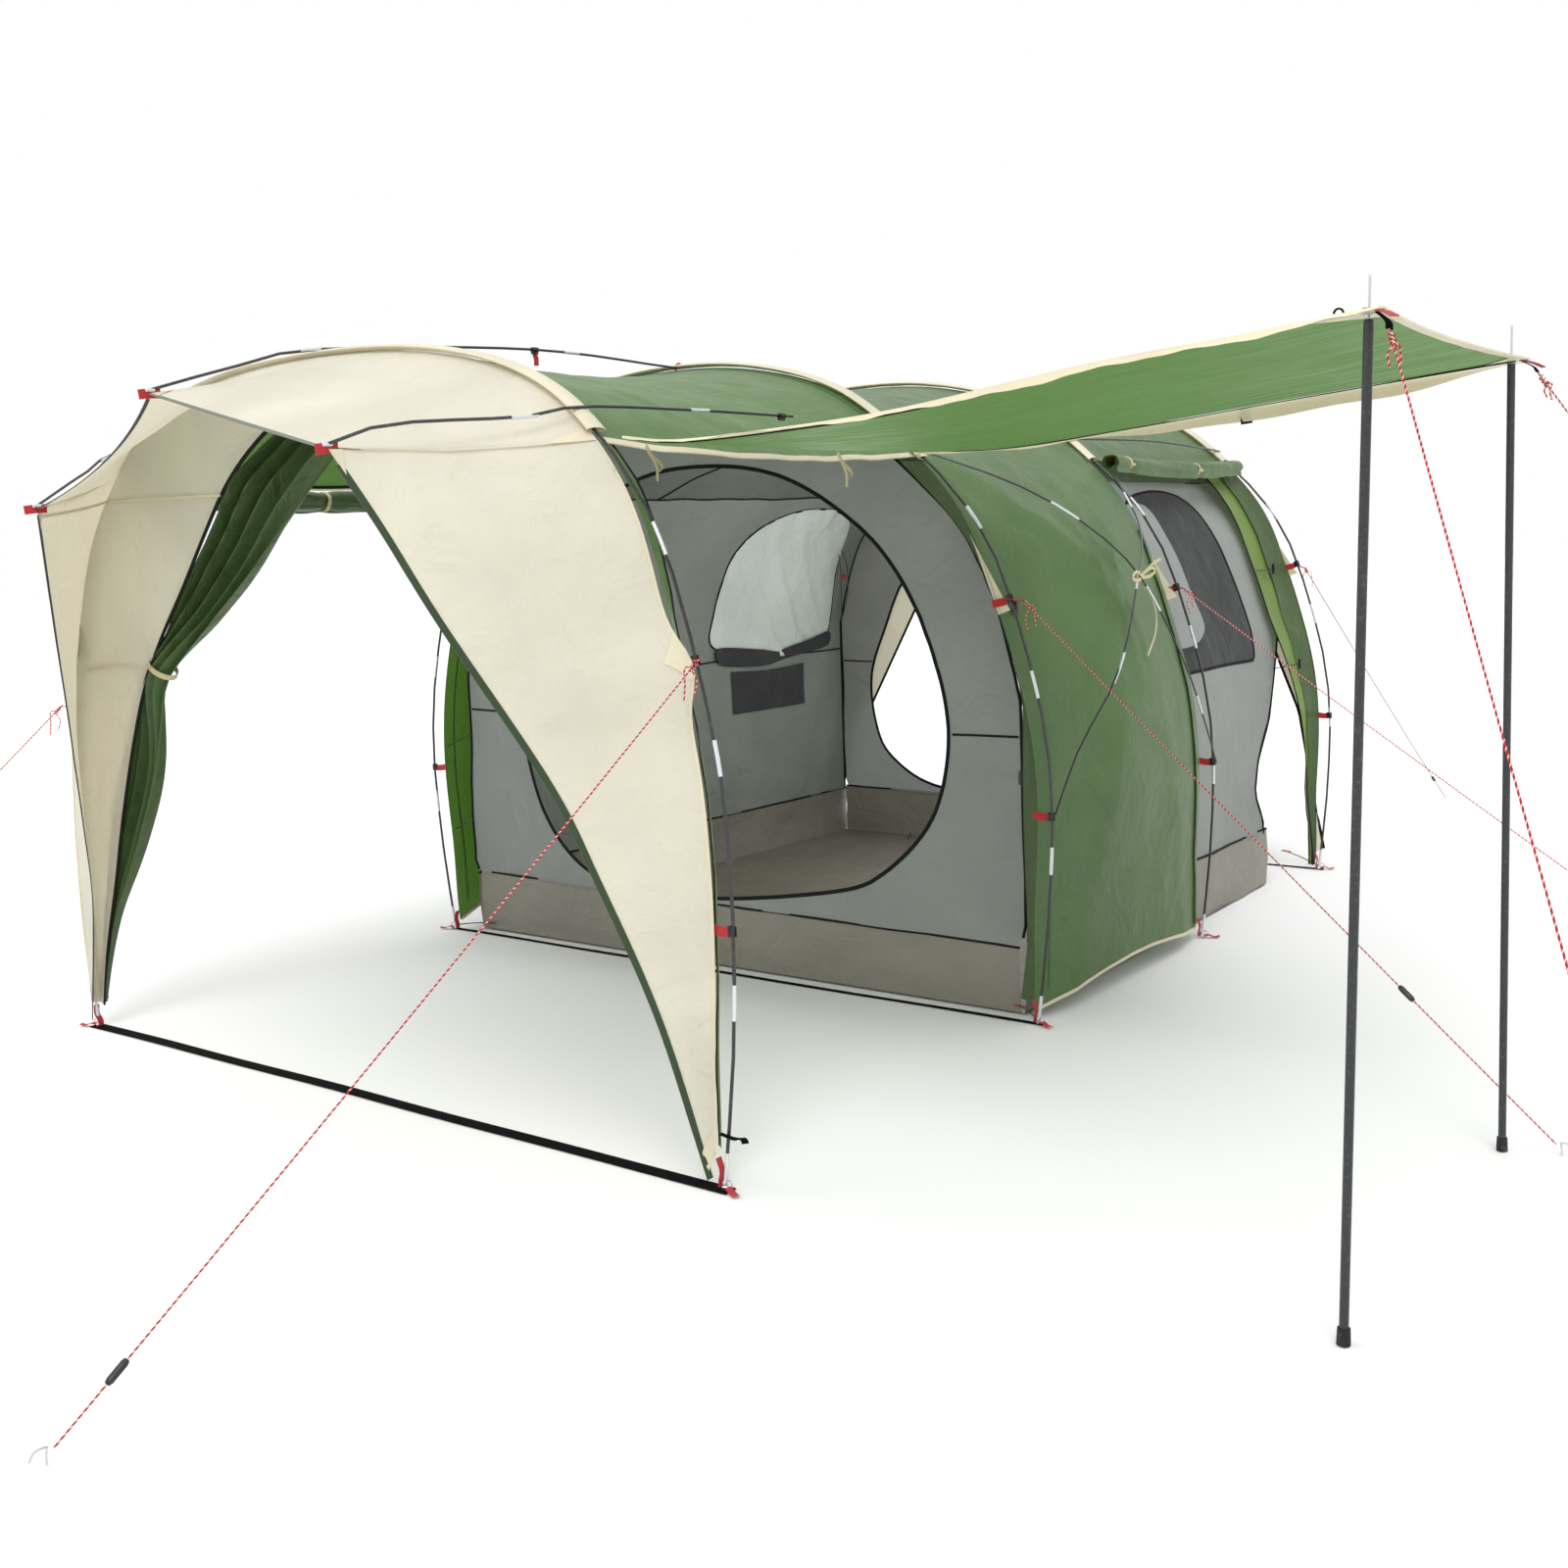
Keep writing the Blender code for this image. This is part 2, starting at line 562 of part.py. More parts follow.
# Guy lines

def guy_path(start, peg, count=9):
    """A taut line from the tent down to its peg, with the little sag that its weight gives it."""
    start = np.array(start)
    end = np.array(peg) + np.array([0, 0, PEG_TOP * 0.6])
    end = end + (start - end) / np.linalg.norm(start - end) * 0.012
    sag = GUY_SAG * np.linalg.norm(end - start)
    return [start + (end - start) * t - np.array([0, 0, 4 * sag * t * (1 - t)]) for t in np.linspace(0, 1, count)]


def build_guys():
    for name, (start, peg) in GUYS.items():
        path = guy_path(start, peg)
        tube(name, path, GUY_RADIUS, "cord")
        away = Vector(peg) - Vector(start)
        away.z = 0
        away.normalize()
        base = Vector(peg) + away * 0.004
        hook = [base + Vector((0, 0, 0.0035)), base + Vector((0, 0, PEG_TOP * 0.7)),
                base + Vector((0, 0, PEG_TOP)) - away * 0.003, base + Vector((0, 0, PEG_TOP)) + away * 0.020,
                base + Vector((0, 0, PEG_TOP * 0.55)) + away * 0.030]
        tube(name.replace("guy", "peg"), smooth([tuple(p) for p in hook], 10), 0.0025, "steel_bright")


def build_runners():
    """A plastic runner on a guy line: a short thick sleeve that the line passes through."""
    bore = GUY_RADIUS + 0.0012
    profile = [(bore, 0.026), (0.0055, 0.026), (0.0080, 0.018), (0.0080, -0.018), (0.0055, -0.026),
               (bore, -0.026), (bore, 0.026)]
    steps = 200
    for name, share in RUNNERS.items():
        path = guy_path(*GUYS[name], steps + 1)
        at = int(share * steps)
        placing = frame_at(path[at], (0, 0, 1), path[at - 1] - path[at + 1])
        turned(name.replace("guy", "runner"), profile, placing, "plastic", steps=12)


build_hoops()
build_roof_poles()
build_cross_poles()
build_rear_poles()
build_canopy()
build_props()
build_feet()
build_straps()
build_fly()
build_end_wall()
build_visor()
build_curtain()
build_cabin()
build_zip_slider()
build_guys()
build_runners()
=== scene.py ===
"""The looks of a tunnel tent on poles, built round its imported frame.

Metres, +Z up, +Y along the tunnel to the rear, +X the side with the propped canopy.
"""

from math import atan2, copysign, cos, exp, hypot, pi, radians, sin

import bmesh
import bpy
import numpy as np
from mathutils import Matrix, Vector, noise


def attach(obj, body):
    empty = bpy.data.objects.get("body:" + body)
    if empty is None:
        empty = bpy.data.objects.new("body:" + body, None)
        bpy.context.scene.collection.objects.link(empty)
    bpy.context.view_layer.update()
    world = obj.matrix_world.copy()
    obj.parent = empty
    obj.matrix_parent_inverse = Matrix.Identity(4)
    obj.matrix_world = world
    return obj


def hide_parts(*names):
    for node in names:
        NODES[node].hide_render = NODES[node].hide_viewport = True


# The tent's measures, as in the CAD
HOOP_Y = (-3.05, -1.40, -0.05, 1.44)
HOOP_LEAN = (0.0, -0.018, -0.050, -0.050)
HOOP_RADIUS = 0.00475
FRONT_SECTION = ((1.385, 0.0), (1.43, 0.40), (1.436, 0.80), (1.395, 1.15), (1.26, 1.60),
                 (1.08, 1.87), (0.85, 2.05), (0.48, 2.155), (0.0, 2.185))
MAIN_SECTION = ((1.385, 0.0), (1.437, 0.40), (1.455, 0.80), (1.395, 1.17), (1.243, 1.60),
                (0.99, 1.89), (0.70, 2.11), (0.36, 2.215), (0.0, 2.245))
REAR_NARROWING = 0.965
ROOF_EDGE = 1.884                     # the height at which the front roof ends on each side
TIPS = {"left": (-0.80, -3.491, 1.778), "middle": (0.0, -3.617, 2.052), "right": (0.86, -3.739, 1.858)}
WING_EDGES = {
    "right": ((0.862, -3.737, 1.846), (0.924, -3.646, 1.662), (0.995, -3.545, 1.438), (1.128, -3.349, 1.044),
              (1.194, -3.265, 0.802), (1.283, -3.160, 0.445), (1.366, -3.084, 0.035)),
    "left": ((-0.801, -3.490, 1.766), (-0.948, -3.372, 1.378), (-1.044, -3.293, 1.131), (-1.118, -3.234, 0.927),
             (-1.195, -3.172, 0.718), (-1.293, -3.100, 0.440), (-1.366, -3.084, 0.035)),
}
CANOPY_ROOT = ((1.118, -3.020, 1.872), (1.012, -1.460, 1.877))
GUY_RADIUS, GUY_SAG, PEG_TOP = 0.0020, 0.004, 0.035
PIPING_RADIUS = 0.0022
WEBBING, TIE, ELASTIC_RADIUS = 0.0022, 0.0016, 0.0022        # thicknesses of webbing and ties, elastics' radius
GUYS = {
    "guy_front_right": ((1.392, -3.085, 1.330), (1.150, -4.700, 0.0)),
    "guy_front_left": ((-1.430, -3.085, 1.120), (-1.070, -4.690, 0.0)),
    "guy_second_right": ((1.375, -1.432, 1.392), (3.045, -1.763, 0.0)),
    "guy_third_right": ((1.350, -0.118, 1.375), (3.250, -0.060, 0.0)),
    "guy_rear_right": ((1.290, 1.420, 1.400), (1.319, 3.600, 0.0)),
    "guy_canopy_near": ((3.020, -3.045, 1.960), (3.808, -4.040, 0.0)),
    "guy_canopy_far": ((2.990, -1.760, 1.960), (4.131, -0.669, 0.0)),
}

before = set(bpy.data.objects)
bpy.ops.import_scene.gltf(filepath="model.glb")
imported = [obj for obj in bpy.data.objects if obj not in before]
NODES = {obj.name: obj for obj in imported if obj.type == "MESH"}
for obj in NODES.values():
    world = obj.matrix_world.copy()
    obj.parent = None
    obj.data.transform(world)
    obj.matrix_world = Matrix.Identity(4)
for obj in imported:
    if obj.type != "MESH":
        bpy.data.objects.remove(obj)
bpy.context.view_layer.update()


# Camera, light and floor

def make_camera():
    """The photograph's viewpoint, in front of the tent's right side and a little below its roof."""
    yaw, pitch, roll = radians(36.58), radians(4.15), -0.03178
    right = Vector((cos(yaw), sin(yaw), 0))
    ahead = Vector((-sin(yaw) * cos(pitch), cos(yaw) * cos(pitch), -sin(pitch)))
    up = right.cross(ahead)
    tilted = right * cos(roll) + up * sin(roll)
    upright = up * cos(roll) - right * sin(roll)
    camera = bpy.data.objects.new("camera", bpy.data.cameras.new("camera"))
    camera.data.lens, camera.data.sensor_width = 38.75, 36.0
    camera.data.shift_y = -0.0796
    camera.data.clip_end = 200
    camera.matrix_world = (Matrix.Translation((3.977, -6.227, 1.616))
                           @ Matrix((tilted, upright, -ahead)).transposed().to_4x4())
    bpy.context.scene.collection.objects.link(camera)
    bpy.context.scene.camera = camera


def make_light():
    world = bpy.data.worlds.new("studio")
    world.use_nodes = True
    sky = world.node_tree.nodes["Background"]
    sky.inputs["Color"].default_value = (1.0, 1.0, 1.0, 1)
    sky.inputs["Strength"].default_value = 1.0
    bpy.context.scene.world = world
    for name, rotation, strength, softness in (("key", (38, 0, 32), 1.5, 35), ("fill", (62, 0, -70), 0.7, 60)):
        sun = bpy.data.lights.new(name, "SUN")
        sun.energy, sun.angle = strength, radians(softness)
        lamp = bpy.data.objects.new(name, sun)
        lamp.rotation_euler = [radians(a) for a in rotation]
        bpy.context.scene.collection.objects.link(lamp)
    bounce = bpy.data.lights.new("bounce", "POINT")
    bounce.energy, bounce.shadow_soft_size = 42, 0.6
    lamp = bpy.data.objects.new("bounce", bounce)
    lamp.location = (0.1, -0.1, 1.15)
    bpy.context.scene.collection.objects.link(lamp)
    bpy.context.scene.view_settings.view_transform = "Standard"


def make_floor():
    mesh = bpy.data.meshes.new("floor")
    bm = bmesh.new()
    bmesh.ops.create_grid(bm, x_segments=1, y_segments=1, size=60)
    bm.to_mesh(mesh)
    bm.free()
    floor = bpy.data.objects.new("floor", mesh)
    floor.location.z = -0.002
    bpy.context.scene.collection.objects.link(floor)
    material, _ = new_material("floor", (0.86, 0.86, 0.86), 0.9)
    mesh.materials.append(material)


# Materials

def srgb(*values):
    return tuple(c / 12.92 if c <= 0.04045 else ((c + 0.055) / 1.055) ** 2.4 for c in (v / 255 for v in values))


def new_material(name, colour, roughness, metallic=0.0, specular=0.5):
    material = bpy.data.materials.new(name)
    material.use_nodes = True
    shader = material.node_tree.nodes["Principled BSDF"]
    shader.inputs["Base Color"].default_value = (*colour, 1)
    shader.inputs["Roughness"].default_value = roughness
    shader.inputs["Metallic"].default_value = metallic
    shader.inputs["Specular IOR Level"].default_value = specular
    return material, shader


class Nodes:
    """Short names for adding nodes to one material."""

    def __init__(self, material):
        self.tree = material.node_tree

    def add(self, kind, inputs=None, **settings):
        node = self.tree.nodes.new(kind)
        for name, value in settings.items():
            setattr(node, name, value)
        for name, value in (inputs or {}).items():
            self.put(node.inputs[name], value)
        return node

    def put(self, socket, value):
        if isinstance(value, bpy.types.NodeSocket):
            self.tree.links.new(value, socket)
        else:
            socket.default_value = value

    def math(self, operation, a, b=0.0):
        node = self.add("ShaderNodeMath", operation=operation)
        self.put(node.inputs[0], a)
        self.put(node.inputs[1], b)
        return node.outputs[0]

    def mix(self, factor, a, b):
        node = self.add("ShaderNodeMix", data_type="RGBA")
        self.put(node.inputs[0], factor)
        self.put(node.inputs[6], a)
        self.put(node.inputs[7], b)
        return node.outputs[2]

    def ramp(self, value, low, high, to_low=0.0, to_high=1.0):
        node = self.add("ShaderNodeMapRange", {"Value": value, "From Min": low, "From Max": high,
                                               "To Min": to_low, "To Max": to_high})
        return node.outputs["Result"]

    def noise(self, where, scale, detail=3.0, distortion=0.0):
        return self.add("ShaderNodeTexNoise", {"Vector": where, "Scale": scale, "Detail": detail,
                                               "Distortion": distortion}).outputs["Fac"]

    def wave(self, where, scale, direction, distortion=0.0):
        node = self.add("ShaderNodeTexWave", {"Vector": where, "Scale": scale, "Distortion": distortion,
                                              "Detail": 2.0, "Detail Scale": 1.5},
                        bands_direction=direction, wave_profile="SIN")
        return node.outputs["Fac"]


def fabric(name, colour, through, share=0.22, roughness=0.5, crinkle=1.0, weave=620, fade=0.10, stretch=None):
    """Coated polyester: a fine weave, small crinkles, and light that comes through in its own colour."""
    material, shader = new_material(name, colour, roughness, specular=0.45)
    n = Nodes(material)
    uv = n.add("ShaderNodeUVMap", uv_map="cloth").outputs["UV"]
    place = n.add("ShaderNodeTexCoord").outputs["Object"]
    patches = n.ramp(n.noise(place, 2.3, 4.0, 0.6), 0.3, 0.7)
    lighter = tuple(min(1.0, c * (1 + fade)) for c in colour)
    darker = tuple(c * (1 - fade) for c in colour)
    tone = n.mix(patches, (*darker, 1), (*lighter, 1))
    warp, weft = n.wave(uv, weave, "X"), n.wave(uv, weave, "Y")
    thread = n.math("MULTIPLY", n.math("ADD", warp, weft), 0.5)
    tone = n.mix(n.ramp(thread, 0.0, 1.0, 0.0, 0.12), tone, (*darker, 1))
    n.put(shader.inputs["Base Color"], tone)
    n.put(shader.inputs["Roughness"], n.ramp(n.noise(place, 9.0, 3.0), 0.3, 0.7, roughness - 0.06,
                                             roughness + 0.08))
    shader.inputs["Sheen Weight"].default_value = 0.08
    shader.inputs["Sheen Roughness"].default_value = 0.4
    if stretch:
        place = n.add("ShaderNodeMapping", {"Vector": place, "Scale": stretch}).outputs["Vector"]
    creases = n.noise(place, 5.5, 5.0, 1.4)
    fine = n.noise(place, 26.0, 3.0, 0.8)
    height = n.math("ADD", n.math("MULTIPLY", creases, 0.020 * crinkle),
                    n.math("MULTIPLY", fine, 0.0035 * crinkle))
    height = n.math("ADD", height, n.math("MULTIPLY", thread, 0.00012))
    bump = n.add("ShaderNodeBump", {"Height": height, "Strength": 0.75, "Distance": 1.0})
    n.put(shader.inputs["Normal"], bump.outputs["Normal"])
    glow = n.add("ShaderNodeBsdfTranslucent", {"Color": (*through, 1), "Normal": bump.outputs["Normal"]})
    blend = n.add("ShaderNodeMixShader", {"Fac": share})
    n.put(blend.inputs[1], shader.outputs["BSDF"])
    n.put(blend.inputs[2], glow.outputs["BSDF"])
    out = n.tree.nodes["Material Output"]
    n.put(out.inputs["Surface"], blend.outputs["Shader"])
    return material


def webbing(name, colour, pitch=420, roughness=0.75, specular=0.5, sheen=0.15):
    """Woven tape: ribs along and across."""
    material, shader = new_material(name, colour, roughness, specular=specular)
    n = Nodes(material)
    uv = n.add("ShaderNodeUVMap", uv_map="cloth").outputs["UV"]
    place = n.add("ShaderNodeTexCoord").outputs["Object"]
    ribs = n.math("MULTIPLY", n.wave(uv, pitch, "Y"), n.wave(uv, pitch * 0.6, "X"))
    darker = tuple(c * 0.6 for c in colour)
    worn = n.ramp(n.noise(place, 40.0, 4.0), 0.35, 0.7, 0.0, 0.5)
    tone = n.mix(ribs, (*darker, 1), (*colour, 1))
    n.put(shader.inputs["Base Color"], n.mix(worn, tone, (*darker, 1)))
    bump = n.add("ShaderNodeBump", {"Height": ribs, "Strength": 0.5, "Distance": 0.0006})
    n.put(shader.inputs["Normal"], bump.outputs["Normal"])
    shader.inputs["Sheen Weight"].default_value = sheen
    return material


def braid(name, first, second, pitch):
    """Two-colour braided cord: one colour spirals round the other."""
    material, shader = new_material(name, first, 0.7)
    n = Nodes(material)
    uv = n.add("ShaderNodeUVMap", uv_map="cloth").outputs["UV"]
    parts = n.add("ShaderNodeSeparateXYZ", {"Vector": uv})
    around = n.math("DIVIDE", parts.outputs["X"], 2 * pi * GUY_RADIUS)
    along = n.math("DIVIDE", parts.outputs["Y"], pitch)
    turn = n.math("FRACT", n.math("ADD", along, around))
    spiral = n.math("GREATER_THAN", n.math("PINGPONG", turn, 0.5), 0.14)
    n.put(shader.inputs["Base Color"], n.mix(spiral, (*first, 1), (*second, 1)))
    strands = n.wave(uv, 900, "Y")
    bump = n.add("ShaderNodeBump", {"Height": strands, "Strength": 0.6, "Distance": 0.0004})
    n.put(shader.inputs["Normal"], bump.outputs["Normal"])
    return material


def hard(name, colour, roughness, metallic=0.0, wear=0.12, grain=60.0, coat=0.0):
    """Painted, moulded or bare hard surface with small scuffs and uneven gloss."""
    material, shader = new_material(name, colour, roughness, metallic)
    n = Nodes(material)
    place = n.add("ShaderNodeTexCoord").outputs["Object"]
    scuffs = n.ramp(n.noise(place, grain, 5.0, 0.4), 0.56, 0.75)
    lighter = tuple(min(1.0, c + wear * 0.35) for c in colour)
    n.put(shader.inputs["Base Color"], n.mix(scuffs, (*colour, 1), (*lighter, 1)))
    n.put(shader.inputs["Roughness"], n.ramp(n.noise(place, grain * 0.4, 4.0), 0.3, 0.7, roughness - 0.08,
                                             roughness + 0.12))
    shader.inputs["Coat Weight"].default_value = coat
    bump = n.add("ShaderNodeBump", {"Height": n.noise(place, grain * 6, 3.0), "Strength": 0.15,
                                    "Distance": 0.0003})
    n.put(shader.inputs["Normal"], bump.outputs["Normal"])
    return material


def make_materials():
    white = srgb(232, 205, 200)
    return {
        "green": fabric("green_fly", srgb(82, 112, 62), srgb(96, 150, 40), 0.22, roughness=0.42),
        "green_dark": fabric("green_hem", srgb(44, 64, 36), srgb(50, 90, 25), 0.08),
        "cream": fabric("cream_fly", srgb(220, 217, 204), srgb(226, 217, 188), 0.36),
        "cream_trim": fabric("cream_trim", srgb(222, 214, 186), srgb(225, 205, 140), 0.15, crinkle=0.4),
        "green_canopy": fabric("green_canopy", srgb(78, 108, 58), srgb(90, 142, 48), 0.32,
                               stretch=(0.3, 2.6, 1.0)),
        "sleeve": fabric("cream_sleeve", srgb(218, 212, 188), srgb(225, 205, 140), 0.10, crinkle=0.7),
        "patch": fabric("cream_patch", srgb(218, 210, 182), srgb(212, 198, 150), 0.10, crinkle=0.4),
        "edge_dark": webbing("edge_dark", srgb(32, 38, 31), 700),
        "edge_grey": webbing("edge_grey", srgb(128, 136, 118), 700),
        "zip": webbing("zip_black", srgb(24, 25, 25), 500, specular=0.2, sheen=0.0),
        # a darker green for the curtain, the rolled door and the wing's overlap; on the forward-facing inner
        # strip it is painted shade
        "curtain_green_and_painted_shade": fabric("curtain_green_and_painted_shade", srgb(66, 90, 46), srgb(62, 104, 30), 0.16, roughness=0.42),
        "green_bright": fabric("green_lining", srgb(112, 142, 62), srgb(120, 160, 50), 0.28, roughness=0.45),
        "green_seam": fabric("green_seam", srgb(66, 100, 56), srgb(60, 120, 40), 0.12, crinkle=0.5),
        # the cabin grey darkened for the ceiling: painted shade
        "cabin_grey_painted_shade": fabric("cabin_ceiling", srgb(104, 108, 100), srgb(120, 140, 110), 0.18, 0.7),
        "cabin_light": fabric("cabin_flap", srgb(158, 163, 160), srgb(175, 182, 178), 0.28, 0.7),
        "floor_inside": fabric("floor_inside", srgb(118, 112, 98), srgb(80, 70, 60), 0.02, 0.42),
        "cabin": fabric("cabin_grey", srgb(140, 143, 139), srgb(158, 165, 162), 0.24, 0.7),
        "mesh": fabric("window_mesh", srgb(48, 50, 50), srgb(70, 70, 70), 0.06, 0.8),
        # whitish window cloth, its colour raised further as painted glow for the light that shines through it
        "pale_and_painted_glow": fabric("window_pale_and_painted_glow", srgb(238, 243, 243), srgb(240, 246, 246), 0.30, 0.7, crinkle=1.6),
        "floor_band": fabric("floor_band", srgb(132, 129, 118), srgb(120, 110, 90), 0.05, 0.55),
        "tape": webbing("black_tape", srgb(14, 14, 15), roughness=0.95, specular=0.08, sheen=0.0),
        "red_tape": webbing("red_tape", srgb(205, 28, 36)),
        "tie": webbing("cream_tie", srgb(232, 218, 168)),
        "guy": braid("guy_braid", white, srgb(178, 12, 24), 0.014),
        # a darker copy of the guy braid: painted shade for the rear line
        "guy_painted_shade": braid("guy_shaded", srgb(150, 122, 118), srgb(128, 60, 60), 0.014),
        "fibreglass": hard("fibreglass", srgb(34, 35, 37), 0.32, grain=90, coat=0.3),
        "ferrule": hard("ferrule", srgb(214, 219, 222), 0.32, 0.6),
        "steel_black": hard("steel_black", srgb(44, 46, 49), 0.34, 0.2, grain=120),
        "steel": hard("steel_bright", srgb(205, 208, 212), 0.28, 1.0),
        "rubber": hard("rubber", srgb(24, 24, 25), 0.8),
        "plastic": hard("plastic", srgb(26, 26, 28), 0.42),
    }


make_camera()
make_light()
make_floor()
M = make_materials()


# Curves

def smooth(points, count):
    """Points evenly spaced along a Catmull-Rom curve through the given ones."""
    points = np.array(points, float)
    ends = np.vstack([2 * points[0] - points[1], points, 2 * points[-1] - points[-2]])
    dense = []
    for a, b, c, d in zip(ends, ends[1:], ends[2:], ends[3:]):
        for t in np.linspace(0, 1, 24, endpoint=False):
            dense.append(0.5 * (2 * b + (c - a) * t + (2 * a - 5 * b + 4 * c - d) * t ** 2
                                + (3 * b - a - 3 * c + d) * t ** 3))
    return resample(np.array(dense + [points[-1]]), count)


def resample(points, count):
    points = np.array(points, float)
    length = np.concatenate([[0], np.cumsum(np.linalg.norm(np.diff(points, axis=0), axis=1))])
    at = np.linspace(0, length[-1], count)
    return np.stack([np.interp(at, length, points[:, k]) for k in range(points.shape[1])], axis=1)


def on_path(path, share):
    """The point a share of the way along a row of evenly spaced points."""
    at = min(1.0, max(0.0, share)) * (len(path) - 1)
    k = min(len(path) - 2, int(at))
    return path[k] * (1 - at + k) + path[k + 1] * (at - k)


def hoop_section(index):
    """The hoop's centreline as (x, z) points, from the left foot to the right one."""
    half = np.array(FRONT_SECTION if index == 0 else MAIN_SECTION)
    if index == 3:
        half = half * (REAR_NARROWING, 1.0)
    return smooth(np.vstack([half * (-1, 1), half[-2::-1]]), 241)


SECTIONS = [hoop_section(index) for index in range(4)]
TANGENTS = [np.gradient(section, axis=0) for section in SECTIONS]
TANGENTS = [(t / np.linalg.norm(t, axis=1)[:, None]).tolist() for t in TANGENTS]
POINTS = [section.tolist() for section in SECTIONS]


def arch(index, share, inset=0.0):
    """The point a share of the way round a hoop, from 0 at the left foot to 1 at the right, moved inwards."""
    at = min(1.0, max(0.0, share)) * (len(POINTS[index]) - 1)
    k = min(len(POINTS[index]) - 2, int(at))
    t = at - k
    (x0, z0), (x1, z1) = POINTS[index][k:k + 2]
    (a0, c0), (a1, c1) = TANGENTS[index][k:k + 2]
    x = x0 + (x1 - x0) * t + (c0 + (c1 - c0) * t) * inset
    z = z0 + (z1 - z0) * t - (a0 + (a1 - a0) * t) * inset
    return np.array([x, HOOP_Y[index] + HOOP_LEAN[index] * z, z])


def share_at(index, side, height):
    """Where round the hoop one side's leg passes this height: side is -1 for left, 1 for right."""
    section = SECTIONS[index]
    half = len(section) // 2
    share = np.interp(height, section[:half + 1, 1], np.linspace(0, 0.5, half + 1))
    return share if side < 0 else 1 - share


def step(value, low, high):
    """0 below low, 1 above high, and smooth between."""
    t = min(1.0, max(0.0, (value - low) / (high - low)))
    return t * t * (3 - 2 * t)


def guy_path(start, peg, count):
    """A taut line from the tent down to its peg, with the little sag that its weight gives it."""
    start = np.array(start)
    end = np.array(peg) + np.array([0, 0, PEG_TOP * 0.6])
    end = end + (start - end) / np.linalg.norm(start - end) * 0.012
    sag = GUY_SAG * np.linalg.norm(end - start)
    return np.array([start + (end - start) * t - np.array([0, 0, 4 * sag * t * (1 - t)])
                     for t in np.linspace(0, 1, count)])


# Mesh making

def piece(name, bm, material, body="tent", replaces=(), smooth_angle=40):
    """Turns a bmesh into a shown piece that rides on a body."""
    mesh = bpy.data.meshes.new(name)
    bmesh.ops.recalc_face_normals(bm, faces=bm.faces)
    bm.to_mesh(mesh)
    bm.free()
    obj = bpy.data.objects.new(name, mesh)
    bpy.context.scene.collection.objects.link(obj)
    mesh.materials.append(M[material])
    mesh.shade_smooth()
    mesh.set_sharp_from_angle(angle=radians(smooth_angle))
    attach(obj, body)
    if replaces:
        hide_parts(*replaces)
    return obj


def new_mesh():
    bm = bmesh.new()
    bm.loops.layers.uv.new("cloth")
    return bm


def grid(bm, rows):
    """Adds a sheet through rows of points, with its UV map in metres across and along the cloth."""
    rows = np.array(rows, float)
    count, width = rows.shape[:2]
    across = np.zeros((count, width))
    across[:, 1:] = np.cumsum(np.linalg.norm(np.diff(rows, axis=1), axis=2), axis=1)
    across -= across[:, -1:] / 2
    along = np.zeros((count, width))
    along[1:] = np.cumsum(np.linalg.norm(np.diff(rows, axis=0), axis=2), axis=0)
    layer = bm.loops.layers.uv["cloth"]
    verts = [[bm.verts.new(point) for point in row] for row in rows]
    for i in range(count - 1):
        for j in range(width - 1):
            corners = ((i, j), (i, j + 1), (i + 1, j + 1), (i + 1, j))
            if len({tuple(np.round(rows[c], 6)) for c in corners}) < 3:
                continue
            try:
                face = bm.faces.new([verts[a][b] for a, b in corners])
            except ValueError:
                continue
            for loop, (a, b) in zip(face.loops, corners):
                loop[layer].uv = (across[a, b], along[a, b])
    return verts


def frames(path, up):
    """Directions along a path and across it, level with up where up is given."""
    path = np.array(path, float)
    along = np.gradient(path, axis=0)
    along /= np.linalg.norm(along, axis=1)[:, None]
    if up is None:
        first = np.array([0, 0, 1.0]) if abs(along[0][2]) < 0.8 else np.array([1.0, 0, 0])
        ups = [first]
        for direction in along[1:]:
            ups.append(ups[-1] - direction * (ups[-1] @ direction))
            ups[-1] /= np.linalg.norm(ups[-1])
        up = np.array(ups)
    up = np.broadcast_to(np.array(up, float), path.shape)
    side = np.cross(along, up)
    side /= np.linalg.norm(side, axis=1)[:, None]
    return side, np.cross(side, along)


def skin(bm, rings, uv, caps=True):
    """Joins rings of points into a tube; uv gives the map's place for the jth point of the ith ring."""
    layer = bm.loops.layers.uv["cloth"]
    verts = [[bm.verts.new(point) for point in ring] for ring in rings]
    count = len(verts[0])
    for i in range(len(verts) - 1):
        for j in range(count):
            k = (j + 1) % count
            face = bm.faces.new((verts[i][j], verts[i][k], verts[i + 1][k], verts[i + 1][j]))
            for loop, corner in zip(face.loops, ((j, i), (j + 1, i), (j + 1, i + 1), (j, i + 1))):
                loop[layer].uv = uv(*corner)
    if caps:
        bm.faces.new(verts[0][::-1])
        bm.faces.new(verts[-1])


def sweep(bm, path, section, up=None, caps=True):
    """Adds a tube: section is (side, up) offsets, given for the whole path or for each of its points."""
    path = np.array(path, float)
    side, normal = frames(path, up)
    section = np.array(section, float)
    if section.ndim == 2:
        section = np.broadcast_to(section, (len(path), *section.shape))
    rings = path[:, None] + section[..., :1] * side[:, None] + section[..., 1:] * normal[:, None]
    closed = np.concatenate([section[0], section[0][:1]])
    around = np.concatenate([[0], np.cumsum(np.linalg.norm(np.diff(closed, axis=0), axis=1))])
    along = np.concatenate([[0], np.cumsum(np.linalg.norm(np.diff(path, axis=0), axis=1))])
    skin(bm, rings, lambda j, i: (around[j], along[i]), caps)


def round_section(radius, sides=8, flat=1.0):
    angles = np.arange(sides) * 2 * pi / sides
    return np.stack([radius * np.cos(angles), radius * flat * np.sin(angles)], axis=1)


